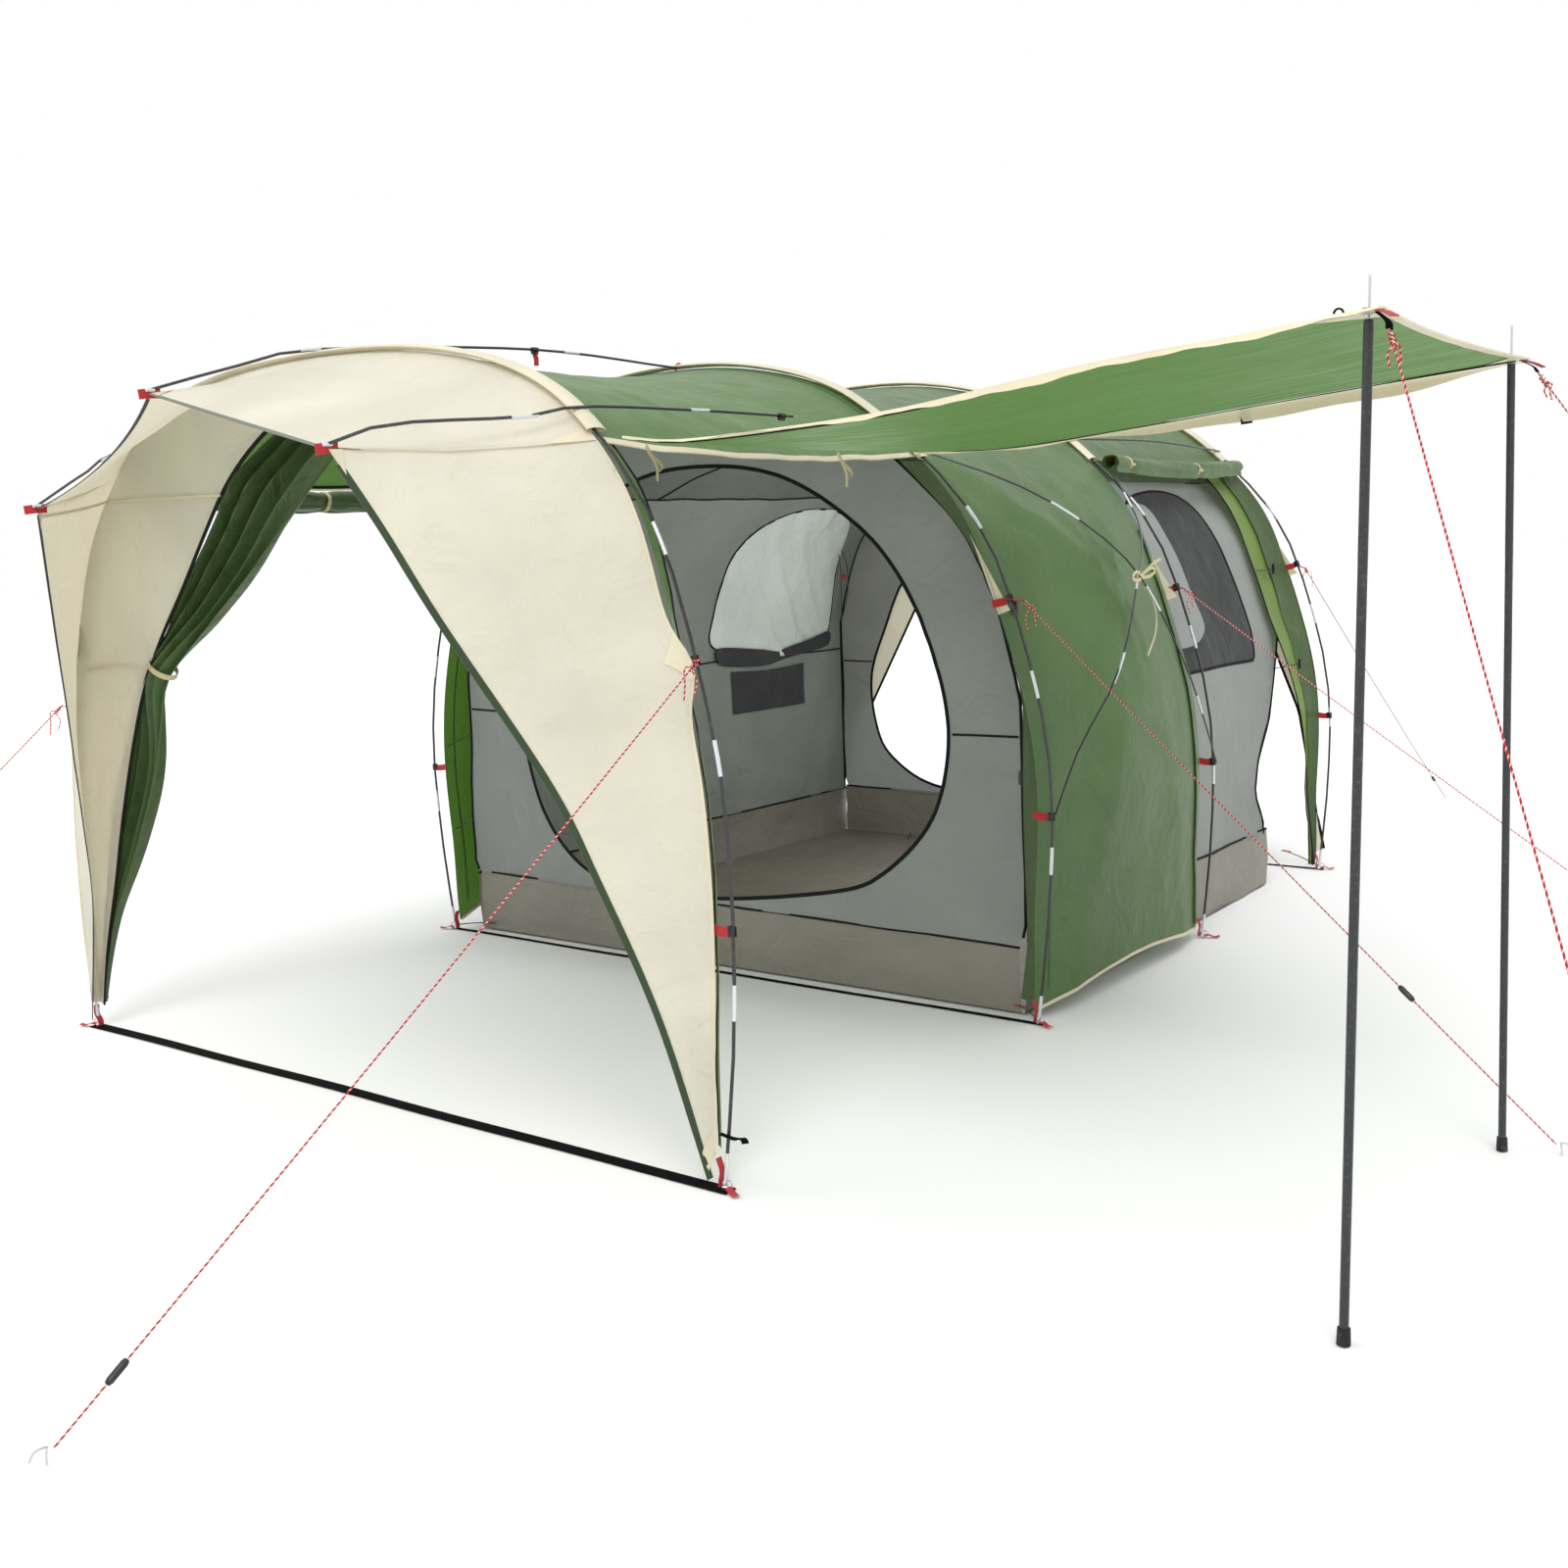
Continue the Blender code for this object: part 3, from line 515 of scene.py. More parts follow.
def tape_section(width, thickness):
    return np.array([(-width / 2, -thickness / 2), (width / 2, -thickness / 2),
                     (width / 2, thickness / 2), (-width / 2, thickness / 2)])


def tape(bm, path, width, thickness=0.0014, up=(0, 0, 1)):
    sweep(bm, path, tape_section(width, thickness), up)


def rod(bm, path, radius, sides=8):
    sweep(bm, path, round_section(radius, sides))


def lathe(bm, base, direction, profile, sides=14):
    """Adds a turned shape: profile is (radius, height) pairs along the direction from its base."""
    z = np.array(direction, float) / np.linalg.norm(direction)
    path = [np.array(base) + z * h for _, h in profile]
    for k in range(1, len(path)):
        if np.linalg.norm(path[k] - path[k - 1]) < 1e-6:
            path[k] = path[k] + z * 1e-5
    x = np.cross(z, (0, 0, 1.0) if abs(z[2]) < 0.8 else (1.0, 0, 0))
    x /= np.linalg.norm(x)
    y = np.cross(z, x)
    angles = np.arange(sides) * 2 * pi / sides
    rings = [[p + (x * cos(a) + y * sin(a)) * max(r, 1e-5) for a in angles]
             for p, (r, _) in zip(path, profile)]
    skin(bm, rings, lambda j, i: (j * profile[0][0] * 0.4, profile[i][1]))


def rumple(point, scale, depth, seed=0.0):
    """A smooth uneven offset that depends only on where the point is."""
    at = Vector(point) * scale + Vector((seed, seed * 0.7, -seed))
    return depth * (noise.noise(at) + 0.5 * noise.noise(at * 2.1))


# Cloth in its own coordinates

def rows_of(place, across, along, low=(0.0, 0.0), high=(1.0, 1.0)):
    """Points of a cloth, place(u, v), on an even grid."""
    return np.array([[place(u, v) for u in np.linspace(low[0], high[0], across + 1)]
                     for v in np.linspace(low[1], high[1], along + 1)])


def normal_of(place, u, v):
    nudge = 2e-3
    across = place(u + nudge, v) - place(u - nudge, v)
    along = place(u, v + nudge) - place(u, v - nudge)
    normal = np.cross(across, along)
    return normal / (np.linalg.norm(normal) + 1e-12)


def lifted(place, distance):
    """The same cloth moved off its own surface."""
    return lambda u, v: place(u, v) + normal_of(place, u, v) * distance


def declare(rows):
    """Takes a cloth's rows as an array and keeps nothing."""
    rows = np.array(rows, float)


def cloth(name, place, across, along, material, rests_on, held="stretched", low=(0.0, 0.0), high=(1.0, 1.0),
          with_pieces=(), **settings):
    """One panel of cloth, made as a sheet."""
    rows = rows_of(place, across, along, low, high)
    bm = new_mesh()
    grid(bm, rows)
    obj = piece(name, bm, material, **settings)
    declare(rows)
    return obj


def line_on(place, start, end, count):
    """Points along a straight line in a cloth's own coordinates, with the cloth's outward side at each."""
    at = [np.array(start) * (1 - t) + np.array(end) * t for t in np.linspace(0, 1, count)]
    return np.array([place(*p) for p in at]), np.array([normal_of(place, *p) for p in at])


def band(bm, place, start, end, count, width, thickness=0.003, lift=0.0):
    """A flat strip or an edge's binding, lying along a line on a cloth."""
    path, up = line_on(place, start, end, count)
    sweep(bm, path + up * lift, tape_section(width, thickness), up)


def edging(name, material, *line, **settings):
    """A strip along one line on a cloth, as a piece of its own: what band() takes comes after the material."""
    bm = new_mesh()
    band(bm, *line, **settings)
    piece(name, bm, material)


def patch(bm, place, corners, count=7, lift=0.0016):
    """A reinforcement sewn on a cloth: three or four corners in the cloth's own coordinates."""
    corners = [np.array(c, float) for c in (corners if len(corners) == 4 else (*corners, corners[-1]))]

    def spot(s, t):
        uv = (corners[0] * (1 - s) + corners[1] * s) * (1 - t) + (corners[3] * (1 - s) + corners[2] * s) * t
        return lifted(place, lift)(*uv)

    grid(bm, [[spot(s, t) for s in np.linspace(0, 1, count)] for t in np.linspace(0, 1, count)])


def ring(bm, hole, outer, steps, place):
    """Cloth between a closed hole and a closed outer edge, both in the cloth's own coordinates."""
    hole, outer = np.array(hole, float), np.array(outer, float)
    middle = hole.mean(axis=0)
    angles = np.linspace(-pi, pi, 145)[:-1]
    for corner in outer[corner_points(outer)]:
        angle = atan2(*(corner - middle)[::-1])
        angles[np.argmin(np.abs(angles - angle))] = angle
    angles = np.append(angles, angles[0] + 2 * pi)
    rows = [[place(*(middle + (reach(hole, middle, a) * (1 - t) + reach(outer, middle, a) * t)
                     * np.array([cos(a), sin(a)]))) for a in angles]
            for t in np.linspace(0, 1, steps + 1)]
    grid(bm, rows)
    bmesh.ops.remove_doubles(bm, verts=bm.verts, dist=1e-5)
    return rows


def corner_points(outline):
    before, after = outline - np.roll(outline, 1, axis=0), np.roll(outline, -1, axis=0) - outline
    turn = np.abs(np.arctan2(before[:, 0] * after[:, 1] - before[:, 1] * after[:, 0],
                             (before * after).sum(axis=1)))
    return turn > 0.5


def reach(outline, middle, angle):
    """How far an outline is from a point inside it, in one direction."""
    way = np.array([cos(angle), sin(angle)])
    a = outline - middle
    b = np.roll(outline, -1, axis=0) - middle
    edge = b - a
    cross = way[0] * edge[:, 1] - way[1] * edge[:, 0]
    cross = np.where(np.abs(cross) < 1e-12, 1e-12, cross)
    far = (a[:, 0] * edge[:, 1] - a[:, 1] * edge[:, 0]) / cross
    share = (a[:, 0] * way[1] - a[:, 1] * way[0]) / cross
    good = (far > 0) & (share >= -1e-9) & (share <= 1 + 1e-9)
    return float(far[good].max())


def disc(bm, outline, steps, place):
    """Cloth inside a closed outline."""
    outline = np.array(outline, float)
    middle = outline.mean(axis=0)
    closed = np.vstack([outline, outline[:1]])
    rows = [[place(*(middle + (p - middle) * t)) for p in closed] for t in np.linspace(0.02, 1, steps + 1)]
    verts = grid(bm, rows)
    bmesh.ops.remove_doubles(bm, verts=bm.verts, dist=1e-5)
    inner = [v for v in verts[0] if v.is_valid]
    bm.faces.new(inner)
    return rows


def outline_path(outline, place, count=None, lift=0.0):
    """A closed outline's points on a cloth, ready to sweep."""
    points = resample(np.vstack([outline, outline[:1]]), count or len(outline) + 1)
    return (np.array([lifted(place, lift)(*p) for p in points]),
            np.array([normal_of(place, *p) for p in points]))


def closed_smooth(points, count):
    """A smooth closed outline through the given points."""
    points = np.array(points, float)
    around = np.vstack([points[-2:], points, points[:3]])
    dense = smooth(around, 40 * len(around))
    start = np.argmin(np.linalg.norm(dense - points[0], axis=1)[: len(dense) // 2])
    tail = len(dense) // 2 + np.argmin(np.linalg.norm(dense[len(dense) // 2:] - points[0], axis=1))
    return resample(dense[start:tail + 1], count + 1)[:-1]


# The frame: bare poles, ferrules, clips and feet

LOOKS = (("canopy_pole_foot", "rubber"), ("canopy_pole", "steel_black"), ("canopy_spike", "steel"),
         ("foot_pin", "steel"), ("peg", "steel"), ("hoop_pole", "fibreglass"), ("roof_pole", "fibreglass"),
         ("rear_roof_pole", "fibreglass"), ("cross_pole", "fibreglass"), ("runner", "plastic"),
         ("door_zip_slider", "plastic"), ("guy", "guy"))
FERRULE_HEIGHTS = ((1.622, 1.083, 0.480), (1.66, 1.118, 0.547), (1.69, 1.184, 0.661), (1.66, 1.19, 0.718))
CLIP_HEIGHTS = ((1.321, 0.657), (1.396, 0.691), (1.377, 0.702), (1.42, 0.724))
FERRULE_LENGTH = 0.09
SLEEVE_ENDS = (1.90, 1.86, 1.88, 1.90)


def dress_cad():
    """Gives each CAD node that stays in view its material."""
    for name, node in NODES.items():
        for start, look in LOOKS:
            if name.startswith(start):
                for slot in node.material_slots:
                    slot.material = M[look]
                break


def seam_inset(height):
    """How far inside a hoop the fly hangs: tight at the sleeve, loose on the leg's clips, close at the foot."""
    return 0.012 + 0.044 * (1 - step(height, 1.45, 1.92)) - 0.030 * (1 - step(height, 0.02, 0.40))


def seam(index, share, extra=0.0):
    """The fly's seam inside a hoop, tight against the front hoop's left leg where the curtain is tied."""
    height = arch(index, share)[2]
    if index == 0 and share < 0.5:
        return arch(0, share, 0.002 + 0.010 * step(height, 1.60, 1.92) + extra)
    return arch(index, share, seam_inset(height) + extra)


def arch_run(index, low, high, count, inset=0.0):
    return np.array([arch(index, share, inset) for share in np.linspace(low, high, count)])


def build_ferrules():
    bm = new_mesh()
    radius = HOOP_RADIUS + 0.0009
    for index, heights in enumerate(FERRULE_HEIGHTS):
        around = np.linalg.norm(np.diff(SECTIONS[index], axis=0), axis=1).sum()
        half = FERRULE_LENGTH / 2 / around
        for side in (-1, 1):
            for height in heights:
                at = share_at(index, side, height)
                sweep(bm, arch_run(index, at - half, at + half, 5), round_section(radius, 12))
            foot = share_at(index, side, 0.055)
            sweep(bm, arch_run(index, foot - half * 0.92, foot + half * 0.92, 5), round_section(radius, 12))
    for path, places in ROOF_RUNS:
        path = smooth(path, 121)
        for y in places:
            near = np.argmin(np.abs(path[:, 1] - y))
            gap = np.linalg.norm(path[1] - path[0])
            count = max(1, int(FERRULE_LENGTH / 2 / gap))
            run = path[max(0, near - count):near + count + 1]
            sweep(bm, run, round_section(0.0052, 12))
    for start, points, end, places in cross_paths():
        path = smooth([start, *points, end], 121)
        for share in places:
            near = int(share * 120)
            sweep(bm, path[max(0, near - 4):near + 4], round_section(0.0044, 12))
    for tip in TIPS.values():
        lathe(bm, np.array(tip) + (0, -0.014, -0.001), (0, 1, 0.04),
              [(0.002, 0), (0.0052, 0.002), (0.0052, 0.026)])
    piece("ferrules", bm, "ferrule", smooth_angle=30)


ROOF_RUNS = (
    (((0.0, -3.617, 2.052), (0.0, -3.33, 2.135), (0.0, -3.05, 2.1975), (0.0, -2.20, 2.255),
      (0.0, -1.475, 2.2395)),
     (-3.10, -2.007)),
    (((0.86, -3.739, 1.858), (0.915, -3.596, 1.905), (0.985, -3.24, 1.930), (1.0, -3.05, 1.954),
      (1.0, -2.57, 1.972), (1.0, -2.135, 1.972)), (-3.23, -2.572)),
    (((-0.80, -3.491, 1.778), (-0.905, -3.27, 1.880), (-1.0, -3.05, 1.954), (-1.0, -2.57, 1.972),
      (-1.0, -2.135, 1.972)), (-3.14, -2.572)),
)


def cross_paths():
    """The two crossed poles, with how far along each its ferrules are."""
    a = (arch(1, share_at(1, 1, 1.88), -0.012), arch(2, share_at(2, 1, 0.70), -0.012))
    b = (arch(2, share_at(2, 1, 1.80), -0.012), arch(1, share_at(1, 1, 0.70), -0.012))
    return ((a[0], ((1.285, -1.25, 1.755), (1.450, -1.05, 1.600), (1.521, -0.85, 1.435), (1.560, -0.60, 1.140),
                    (1.525, -0.35, 0.918)), a[1], (0.27, 0.52, 0.80)),
            (b[0], ((1.280, -0.35, 1.640), (1.420, -0.62, 1.530), (1.508, -0.85, 1.437), (1.575, -1.08, 1.248),
                    (1.558, -1.17, 1.090), (1.502, -1.30, 0.904)), b[1], (0.10, 0.50, 0.72)))


def build_sleeves():
    """A flat cream tube of cloth over each hoop, from shoulder to shoulder."""
    for index, top in enumerate(SLEEVE_ENDS):
        low, high = share_at(index, -1, top), share_at(index, 1, top)
        path = arch_run(index, low, high, 73)
        outward = arch_run(index, low, high, 73, -0.02) - path
        outward /= np.linalg.norm(outward, axis=1)[:, None]
        sections = []
        for point in path:
            wide = 0.034 + rumple(point, 5.0, 0.004, index)
            high_side = 0.0095 + rumple(point, 14.0, 0.0015, 3 + index)
            low_side = 0.0085 + rumple(point, 11.0, 0.0015, 7 + index)
            ridge = [(cos(a), sin(a)) for a in np.linspace(0, 2 * pi, 20, endpoint=False)]
            sections.append([(wide * c, (high_side if s > 0 else low_side) * copysign(abs(s) ** 1.3, s))
                             for c, s in ridge])
        bm = new_mesh()
        sweep(bm, path, np.array(sections), outward, caps=False)
        tube = piece(f"sleeve_{index + 1}", bm, "sleeve", smooth_angle=60)
        bm = new_mesh()
        for edge in (-1, 1):
            line = path + outward * 0.0005 + np.array([0, edge * 0.033, 0])
            sweep(bm, line, round_section(PIPING_RADIUS, 8), outward)
        piece(f"sleeve_piping_{index + 1}", bm, "cream_trim")


def build_clips():
    """On each leg a red tape runs from the fly's seam to a black clip on the pole."""
    red, black = new_mesh(), new_mesh()
    for index, heights in enumerate(CLIP_HEIGHTS):
        for side in (-1, 1):
            for height in heights:
                if index == 0 and side < 0:
                    continue
                share = share_at(index, side, height)
                pole, fly = arch(index, share), seam(index, share)
                way = arch(index, share + 0.002 * side) - arch(index, share - 0.002 * side)
                way /= np.linalg.norm(way)
                run = [fly + (pole - fly) * t + way * 0.003 * sin(pi * t) for t in np.linspace(-0.25, 0.86, 6)]
                sweep(red, run, tape_section(0.025, 0.002), np.cross(pole - fly, way))
                clip(black, pole, way, fly - pole)
    for at in ((0.0, -2.19, 2.2548), (1.0, -2.19, 1.972), (-1.0, -2.19, 1.972)):
        clip(black, at, (0, 1, 0), (0, 0, -1))
    strap = np.array((0.0, -2.19, 2.2548))
    sweep(red, [strap + (0, 0, -0.012), strap + (0.002, 0.004, -0.03), strap + (0, 0.006, -0.052)],
          tape_section(0.020, 0.002), (0, 1, 0))
    ring_at = np.array((0.0, -1.452, 2.236))
    turn = [ring_at + (0, 0.020 * cos(a), 0.020 * sin(a)) for a in np.linspace(0.3, 5.6, 15)]
    sweep(red, turn, round_section(0.0036, 8))
    for side, place in ((1, (1.04, -0.05, 1.885)), (1, (1.005, 1.30, 1.878))):
        hook = [np.array(place) + (0.012 * cos(a), 0, 0.012 * sin(a)) for a in np.linspace(0, 5.2, 12)]
        sweep(red, hook, round_section(0.003, 8))
    piece("red_clip_tapes", red, "red_tape")
    piece("leg_clips", black, "plastic", smooth_angle=30)


def clip(bm, pole, along, inward):
    """A moulded C clip gripping a pole, with the bar that its tape goes through."""
    pole, along, inward = np.array(pole, float), np.array(along, float), np.array(inward, float)
    inward = inward / np.linalg.norm(inward)
    side = np.cross(along, inward)
    grip = [(0.0086 * cos(a), 0.0086 * sin(a)) for a in np.linspace(0.5, 2 * pi - 0.5, 14)]
    inner = [(0.0055 * cos(a), 0.0055 * sin(a)) for a in np.linspace(2 * pi - 0.5, 0.5, 14)]
    outline = [pole - inward * c + side * s for c, s in grip + inner]
    ends = [[bm.verts.new(p + along * d) for p in outline] for d in (-0.013, -0.010, 0.010, 0.013)]
    count = len(outline)
    for a, b in zip(ends, ends[1:]):
        for k in range(count):
            bm.faces.new((a[k], a[(k + 1) % count], b[(k + 1) % count], b[k]))
    bm.faces.new(ends[0][::-1])
    bm.faces.new(ends[-1])
    bar = pole + inward * 0.0115
    sweep(bm, [bar - along * 0.014, bar, bar + along * 0.014],
          [(-0.004, -0.003), (0.004, -0.003), (0.004, 0.003), (-0.004, 0.003)], inward)


def build_feet():
    """Red webbing holds the fly's corner and the pin at each foot, with a pull tab lying outwards."""
    red, steel, black = new_mesh(), new_mesh(), new_mesh()
    for index in range(4):
        for side in (-1, 1):
            foot = arch(index, 1.0 if side > 0 else 0.0)
            x, y, _ = foot
            top = seam(index, share_at(index, side, 0.075))
            down = [top, top * 0.6 + foot * 0.4 + (side * 0.004, 0, 0), foot + (-side * 0.012, 0, 0.024),
                    foot + (-side * 0.013, 0, 0.006)]
            sweep(red, smooth(down, 9), tape_section(0.020, WEBBING), (side, 0.0, 0.25))
            out = -1 if index < 2 else 1
            tab = [(x + side * 0.004, y, 0.006), (x + side * 0.020, y + out * 0.012, 0.012),
                   (x + side * 0.036, y + out * 0.018, 0.006), (x + side * 0.048, y + out * 0.024, 0.004),
                   (x + side * 0.060, y + out * 0.032, 0.008)]
            sweep(red, smooth(tab, 11), tape_section(0.019, WEBBING), (0, 0, 1))
            loop = [(x + side * 0.012 + 0.011 * cos(a), y + out * 0.004 + 0.003, 0.016 + 0.011 * sin(a))
                    for a in np.linspace(0, 2 * pi, 17)]
            sweep(steel, loop, round_section(0.0018, 8), (0, 1.0, 0))
            lathe(steel, (x, y, 0.0105), (0, 0, 1),
                  [(0.0066, 0), (0.0070, 0.003), (0.0070, 0.010), (0.0056, 0.013)])
    tail = [(1.392, -3.07, 0.150), (1.425, -3.055, 0.138), (1.455, -3.06, 0.146), (1.47, -3.07, 0.140)]
    sweep(black, smooth(tail, 9), tape_section(0.018, 0.002), (0, 0, 1))
    piece("foot_webbing", red, "red_tape")
    piece("foot_rings", steel, "steel")
    piece("foot_tails", black, "tape")


def build_ground_straps():
    """Webbing that lies on the ground between a hoop's feet, never quite straight."""
    for index, width in ((0, 0.044), (1, 0.020), (3, 0.020)):
        left, right = arch(index, 0.0), arch(index, 1.0)
        path = []
        for t in np.linspace(-0.008, 1.008, 49):
            point = left + (right - left) * t
            point[1] += 0.004 * sin(5.3 * t + index) + 0.002 * sin(17 * t)
            point[2] = 0.0014 + 0.0007 * sin(11 * t + index) ** 2
            path.append(point)
        bm = new_mesh()
        tape(bm, path, width, 0.0018)
        piece(f"ground_strap_{index + 1}_webbing", bm, "tape", replaces=[f"ground_strap_{index + 1}"])


# Fly

def build_visor():
    """The cream roof forward of the first hoop, pulled out to three tips, and a wing down each side."""
    tips = [np.array(TIPS[name]) for name in ("left", "middle", "right")]
    low, high = share_at(0, -1, 1.88), share_at(0, 1, 1.88)

    def front(u):
        pair = (tips[0], tips[1]) if u < 0.5 else (tips[1], tips[2])
        along = min(1.0, max(0.0, u * 2 if u < 0.5 else u * 2 - 1))
        point = pair[0] * (1 - along) + pair[1] * along
        point[1] += 0.05 * 4 * along * (1 - along)
        point[2] -= 0.010 + 0.012 * 4 * along * (1 - along)
        return point

    def roof(u, v):
        hoop = arch(0, low + (high - low) * u, 0.010) - np.array([0, 0.010, 0])
        point = front(u) * (1 - v) + hoop * v
        sway = sin(pi * min(1, max(0, v)))
        point[2] -= 0.022 * sway * (1 - 0.5 * abs(cos(2 * pi * u)))
        point[2] += rumple(point, 4.5, 0.007, 1) * sway
        for tip_u, reach_u in ((0.0, 0.10), (0.5, 0.12), (1.0, 0.10)):
            fan = atan2(u - tip_u, v + 0.05)
            near = exp(-((u - tip_u) / reach_u) ** 2 - (v / 0.55) ** 2)
            point[2] += 0.0035 * near * sin(14 * fan) * min(1, v * 6)
        return point

    cloth("visor_roof_cloth", roof, 72, 28, "cream", ["hoop_pole_1", "roof_pole_middle"],
          replaces=["visor_roof"], held="stretched")
    trim = new_mesh()
    for tip_u, spread in ((0.0, 0.04), (0.5, 0.018), (1.0, 0.022)):
        for side in (-1, 1):
            edge_u = tip_u + side * spread
            if -0.001 <= edge_u <= 1.001:
                for lift in (0.002, -0.002):
                    patch(trim, roof, ((tip_u, 0.0), (edge_u, 0.0), (tip_u, 0.13)), lift=lift)
    patch(trim, roof, ((0.978, 0.99), (1.0, 0.99), (1.0, 0.78)), lift=0.002)
    piece("visor_patches", trim, "patch")
    edging("visor_front_edge_left", "edge_dark", roof, (0.0, 0.0), (0.5, 0.0), 25, 0.012, 0.003)
    edging("visor_front_edge_right", "edge_grey", roof, (0.5, 0.0), (1.0, 0.0), 25, 0.012, 0.003)

    for side, name, share, foot in ((1, "right", high, 0.985), (-1, "left", low, 0.015)):
        edge = smooth(WING_EDGES[name], 61)

        def wing(u, v, edge=edge, share=share, foot=foot, side=side):
            v = min(1.0, max(0.0, v))
            at = share + (foot - share) * v
            back = seam(0, at) - np.array([0, 0.012, 0])
            touch = exp(-((v - 0.345) / 0.045) ** 2) if side > 0 else 0.0
            back = back * (1 - touch) + (arch(0, at, 0.010) - np.array([0, 0.010, 0])) * touch
            point = back * (1 - u) + on_path(edge, v) * u
            loose = 4 * u * (1 - u)
            crease = rumple(point, 3.6, 0.010, 2 + side) * min(1, loose * 1.6)
            point[0] += side * (-0.012 * loose * (1 - v) + crease)
            point[1] += 0.03 * loose * sin(pi * v) * 0.3
            fan = atan2(v - 0.345, u + 0.02)
            near_fan = exp(-(u / 0.35) ** 2 - ((v - 0.345) / 0.2) ** 2)
            point[0] += side * 0.004 * sin(10 * fan) * near_fan * min(1, u * 8)
            return point

        cloth(f"visor_wing_{name}_cloth", wing, 26, 64, "cream", ["hoop_pole_1"],
              replaces=[f"visor_wing_{name}"])
        edging(f"wing_{name}_piping", "cream_trim", wing, (0.0, 0.0), (0.0, 1.0), 60, 0.008, 0.004)
        if side > 0:
            edging("wing_right_hem", "green_dark", wing, (1.0, 0.02), (1.0, 1.0), 60, 0.017, 0.003)
        else:
            edging("wing_left_hem", "edge_dark", wing, (1.0, 0.01), (1.0, 1.0), 60, 0.010, 0.003)
        bm = new_mesh()
        for lift in (0.002, -0.002):
            patch(bm, wing, ((0.0, 0.295), (0.0, 0.365), (0.13, 0.335)), lift=lift)
            patch(bm, wing, ((0.95, 0.0), (1.0, 0.0), (1.0, 0.035)), lift=lift)
            patch(bm, wing, ((0.0, 0.965), (1.0, 0.965), (1.0, 0.992), (0.0, 0.992)), lift=lift * 0.8)
        if side < 0:
            band(bm, wing, (1.0, 0.012), (0.0, 0.052), 24, 0.009, 0.003)
        piece(f"wing_{name}_patches", bm, "patch")

        def strip(u, v, side=side, share=share, foot=foot):
            v = min(1.0, max(0.0, v))
            at = share + (foot - share) * v
            front = seam(0, at)
            width = 0.030 + 0.045 * exp(-((v - 0.10) / 0.22) ** 2)
            front[1] += 0.012
            back = front + np.array([-side * 0.022, width - 0.012, 0])
            point = front * (1 - u) + back * u
            point[0] += side * rumple(point, 9.0, 0.004, 5) * u
            return point

        cloth(f"front_leg_strip_{name}", strip, 5, 60, "green", ["hoop_pole_1"])
        edging(f"side_zip_{name}", "zip", strip, (1.0, 0.0), (1.0, 1.0), 60, 0.010, 0.004)
    bm = new_mesh()
    for name, tip in TIPS.items():
        tip = np.array(tip)
        side = {"left": -1, "middle": -0.35, "right": -0.25}[name]
        tab = [tip + (0, 0.030, -0.008), tip + (0, -0.002, -0.009), tip + (side * 0.02, -0.030, -0.013)]
        sweep(bm, smooth(tab, 7), tape_section(0.026, WEBBING), (1.0, 0, 0))
    piece("tip_tabs", bm, "red_tape")


def fly_bay(index, first, last, sag, seed, pull=0.0, pleat=0.0):
    """Cloth between two hoops: u from the left to the right, v from the front hoop to the rear one."""
    def place(u, v):
        inside = min(1.0, max(0.0, v))
        share = first(inside) + (last(inside) - first(inside)) * u
        gap = 0.008
        front, rear = seam(index, share) + (0, gap, 0), seam(index + 1, share) - (0, gap, 0)
        point = front * (1 - v) + rear * v
        swell = 4 * inside * (1 - inside)
        over = max(0.0, cos(pi * (share - 0.5) * 1.75))
        point[2] -= sag * swell * over
        height = point[2]
        for side in (-1, 1):
            if (share - 0.5) * side <= 0:
                continue
            wide = 1 - abs(2 * inside - 1) ** 1.06
            if height < 1.43:
                tall = 0.34 + 0.66 * max(0.0, height / 1.43) ** 1.15
            else:
                tall = max(0.0, (1.97 - height) / 0.54)
            point[0] += side * pull * min(wide, tall, 1.0)
            fan = atan2(height - 1.43, (inside - 0.5) * 1.35)
            far = hypot(height - 1.43, (inside - 0.5) * 1.35)
            point[0] += side * pleat * sin(11 * fan) * exp(-(far / 0.30) ** 2) * min(1, far * 12)
        edge = min(1.0, swell * 1.8)
        bump = rumple(point, 3.0, 0.010, seed) + rumple(point * np.array([1, 0.35, 1]), 8.0, 0.003, seed + 3)
        outward = np.array([sin(pi * (share - 0.5) * 1.2), 0, cos(pi * (share - 0.5))])
        return point + outward * bump * edge
    return place


def constant(value):
    return lambda v: value


def hem_share(index, side, rise):
    """The fly's lower edge, lifted in the middle of a bay."""
    def share(v):
        height = 0.035 + rise * sin(pi * v)
        return share_at(index, side, height)
    return share


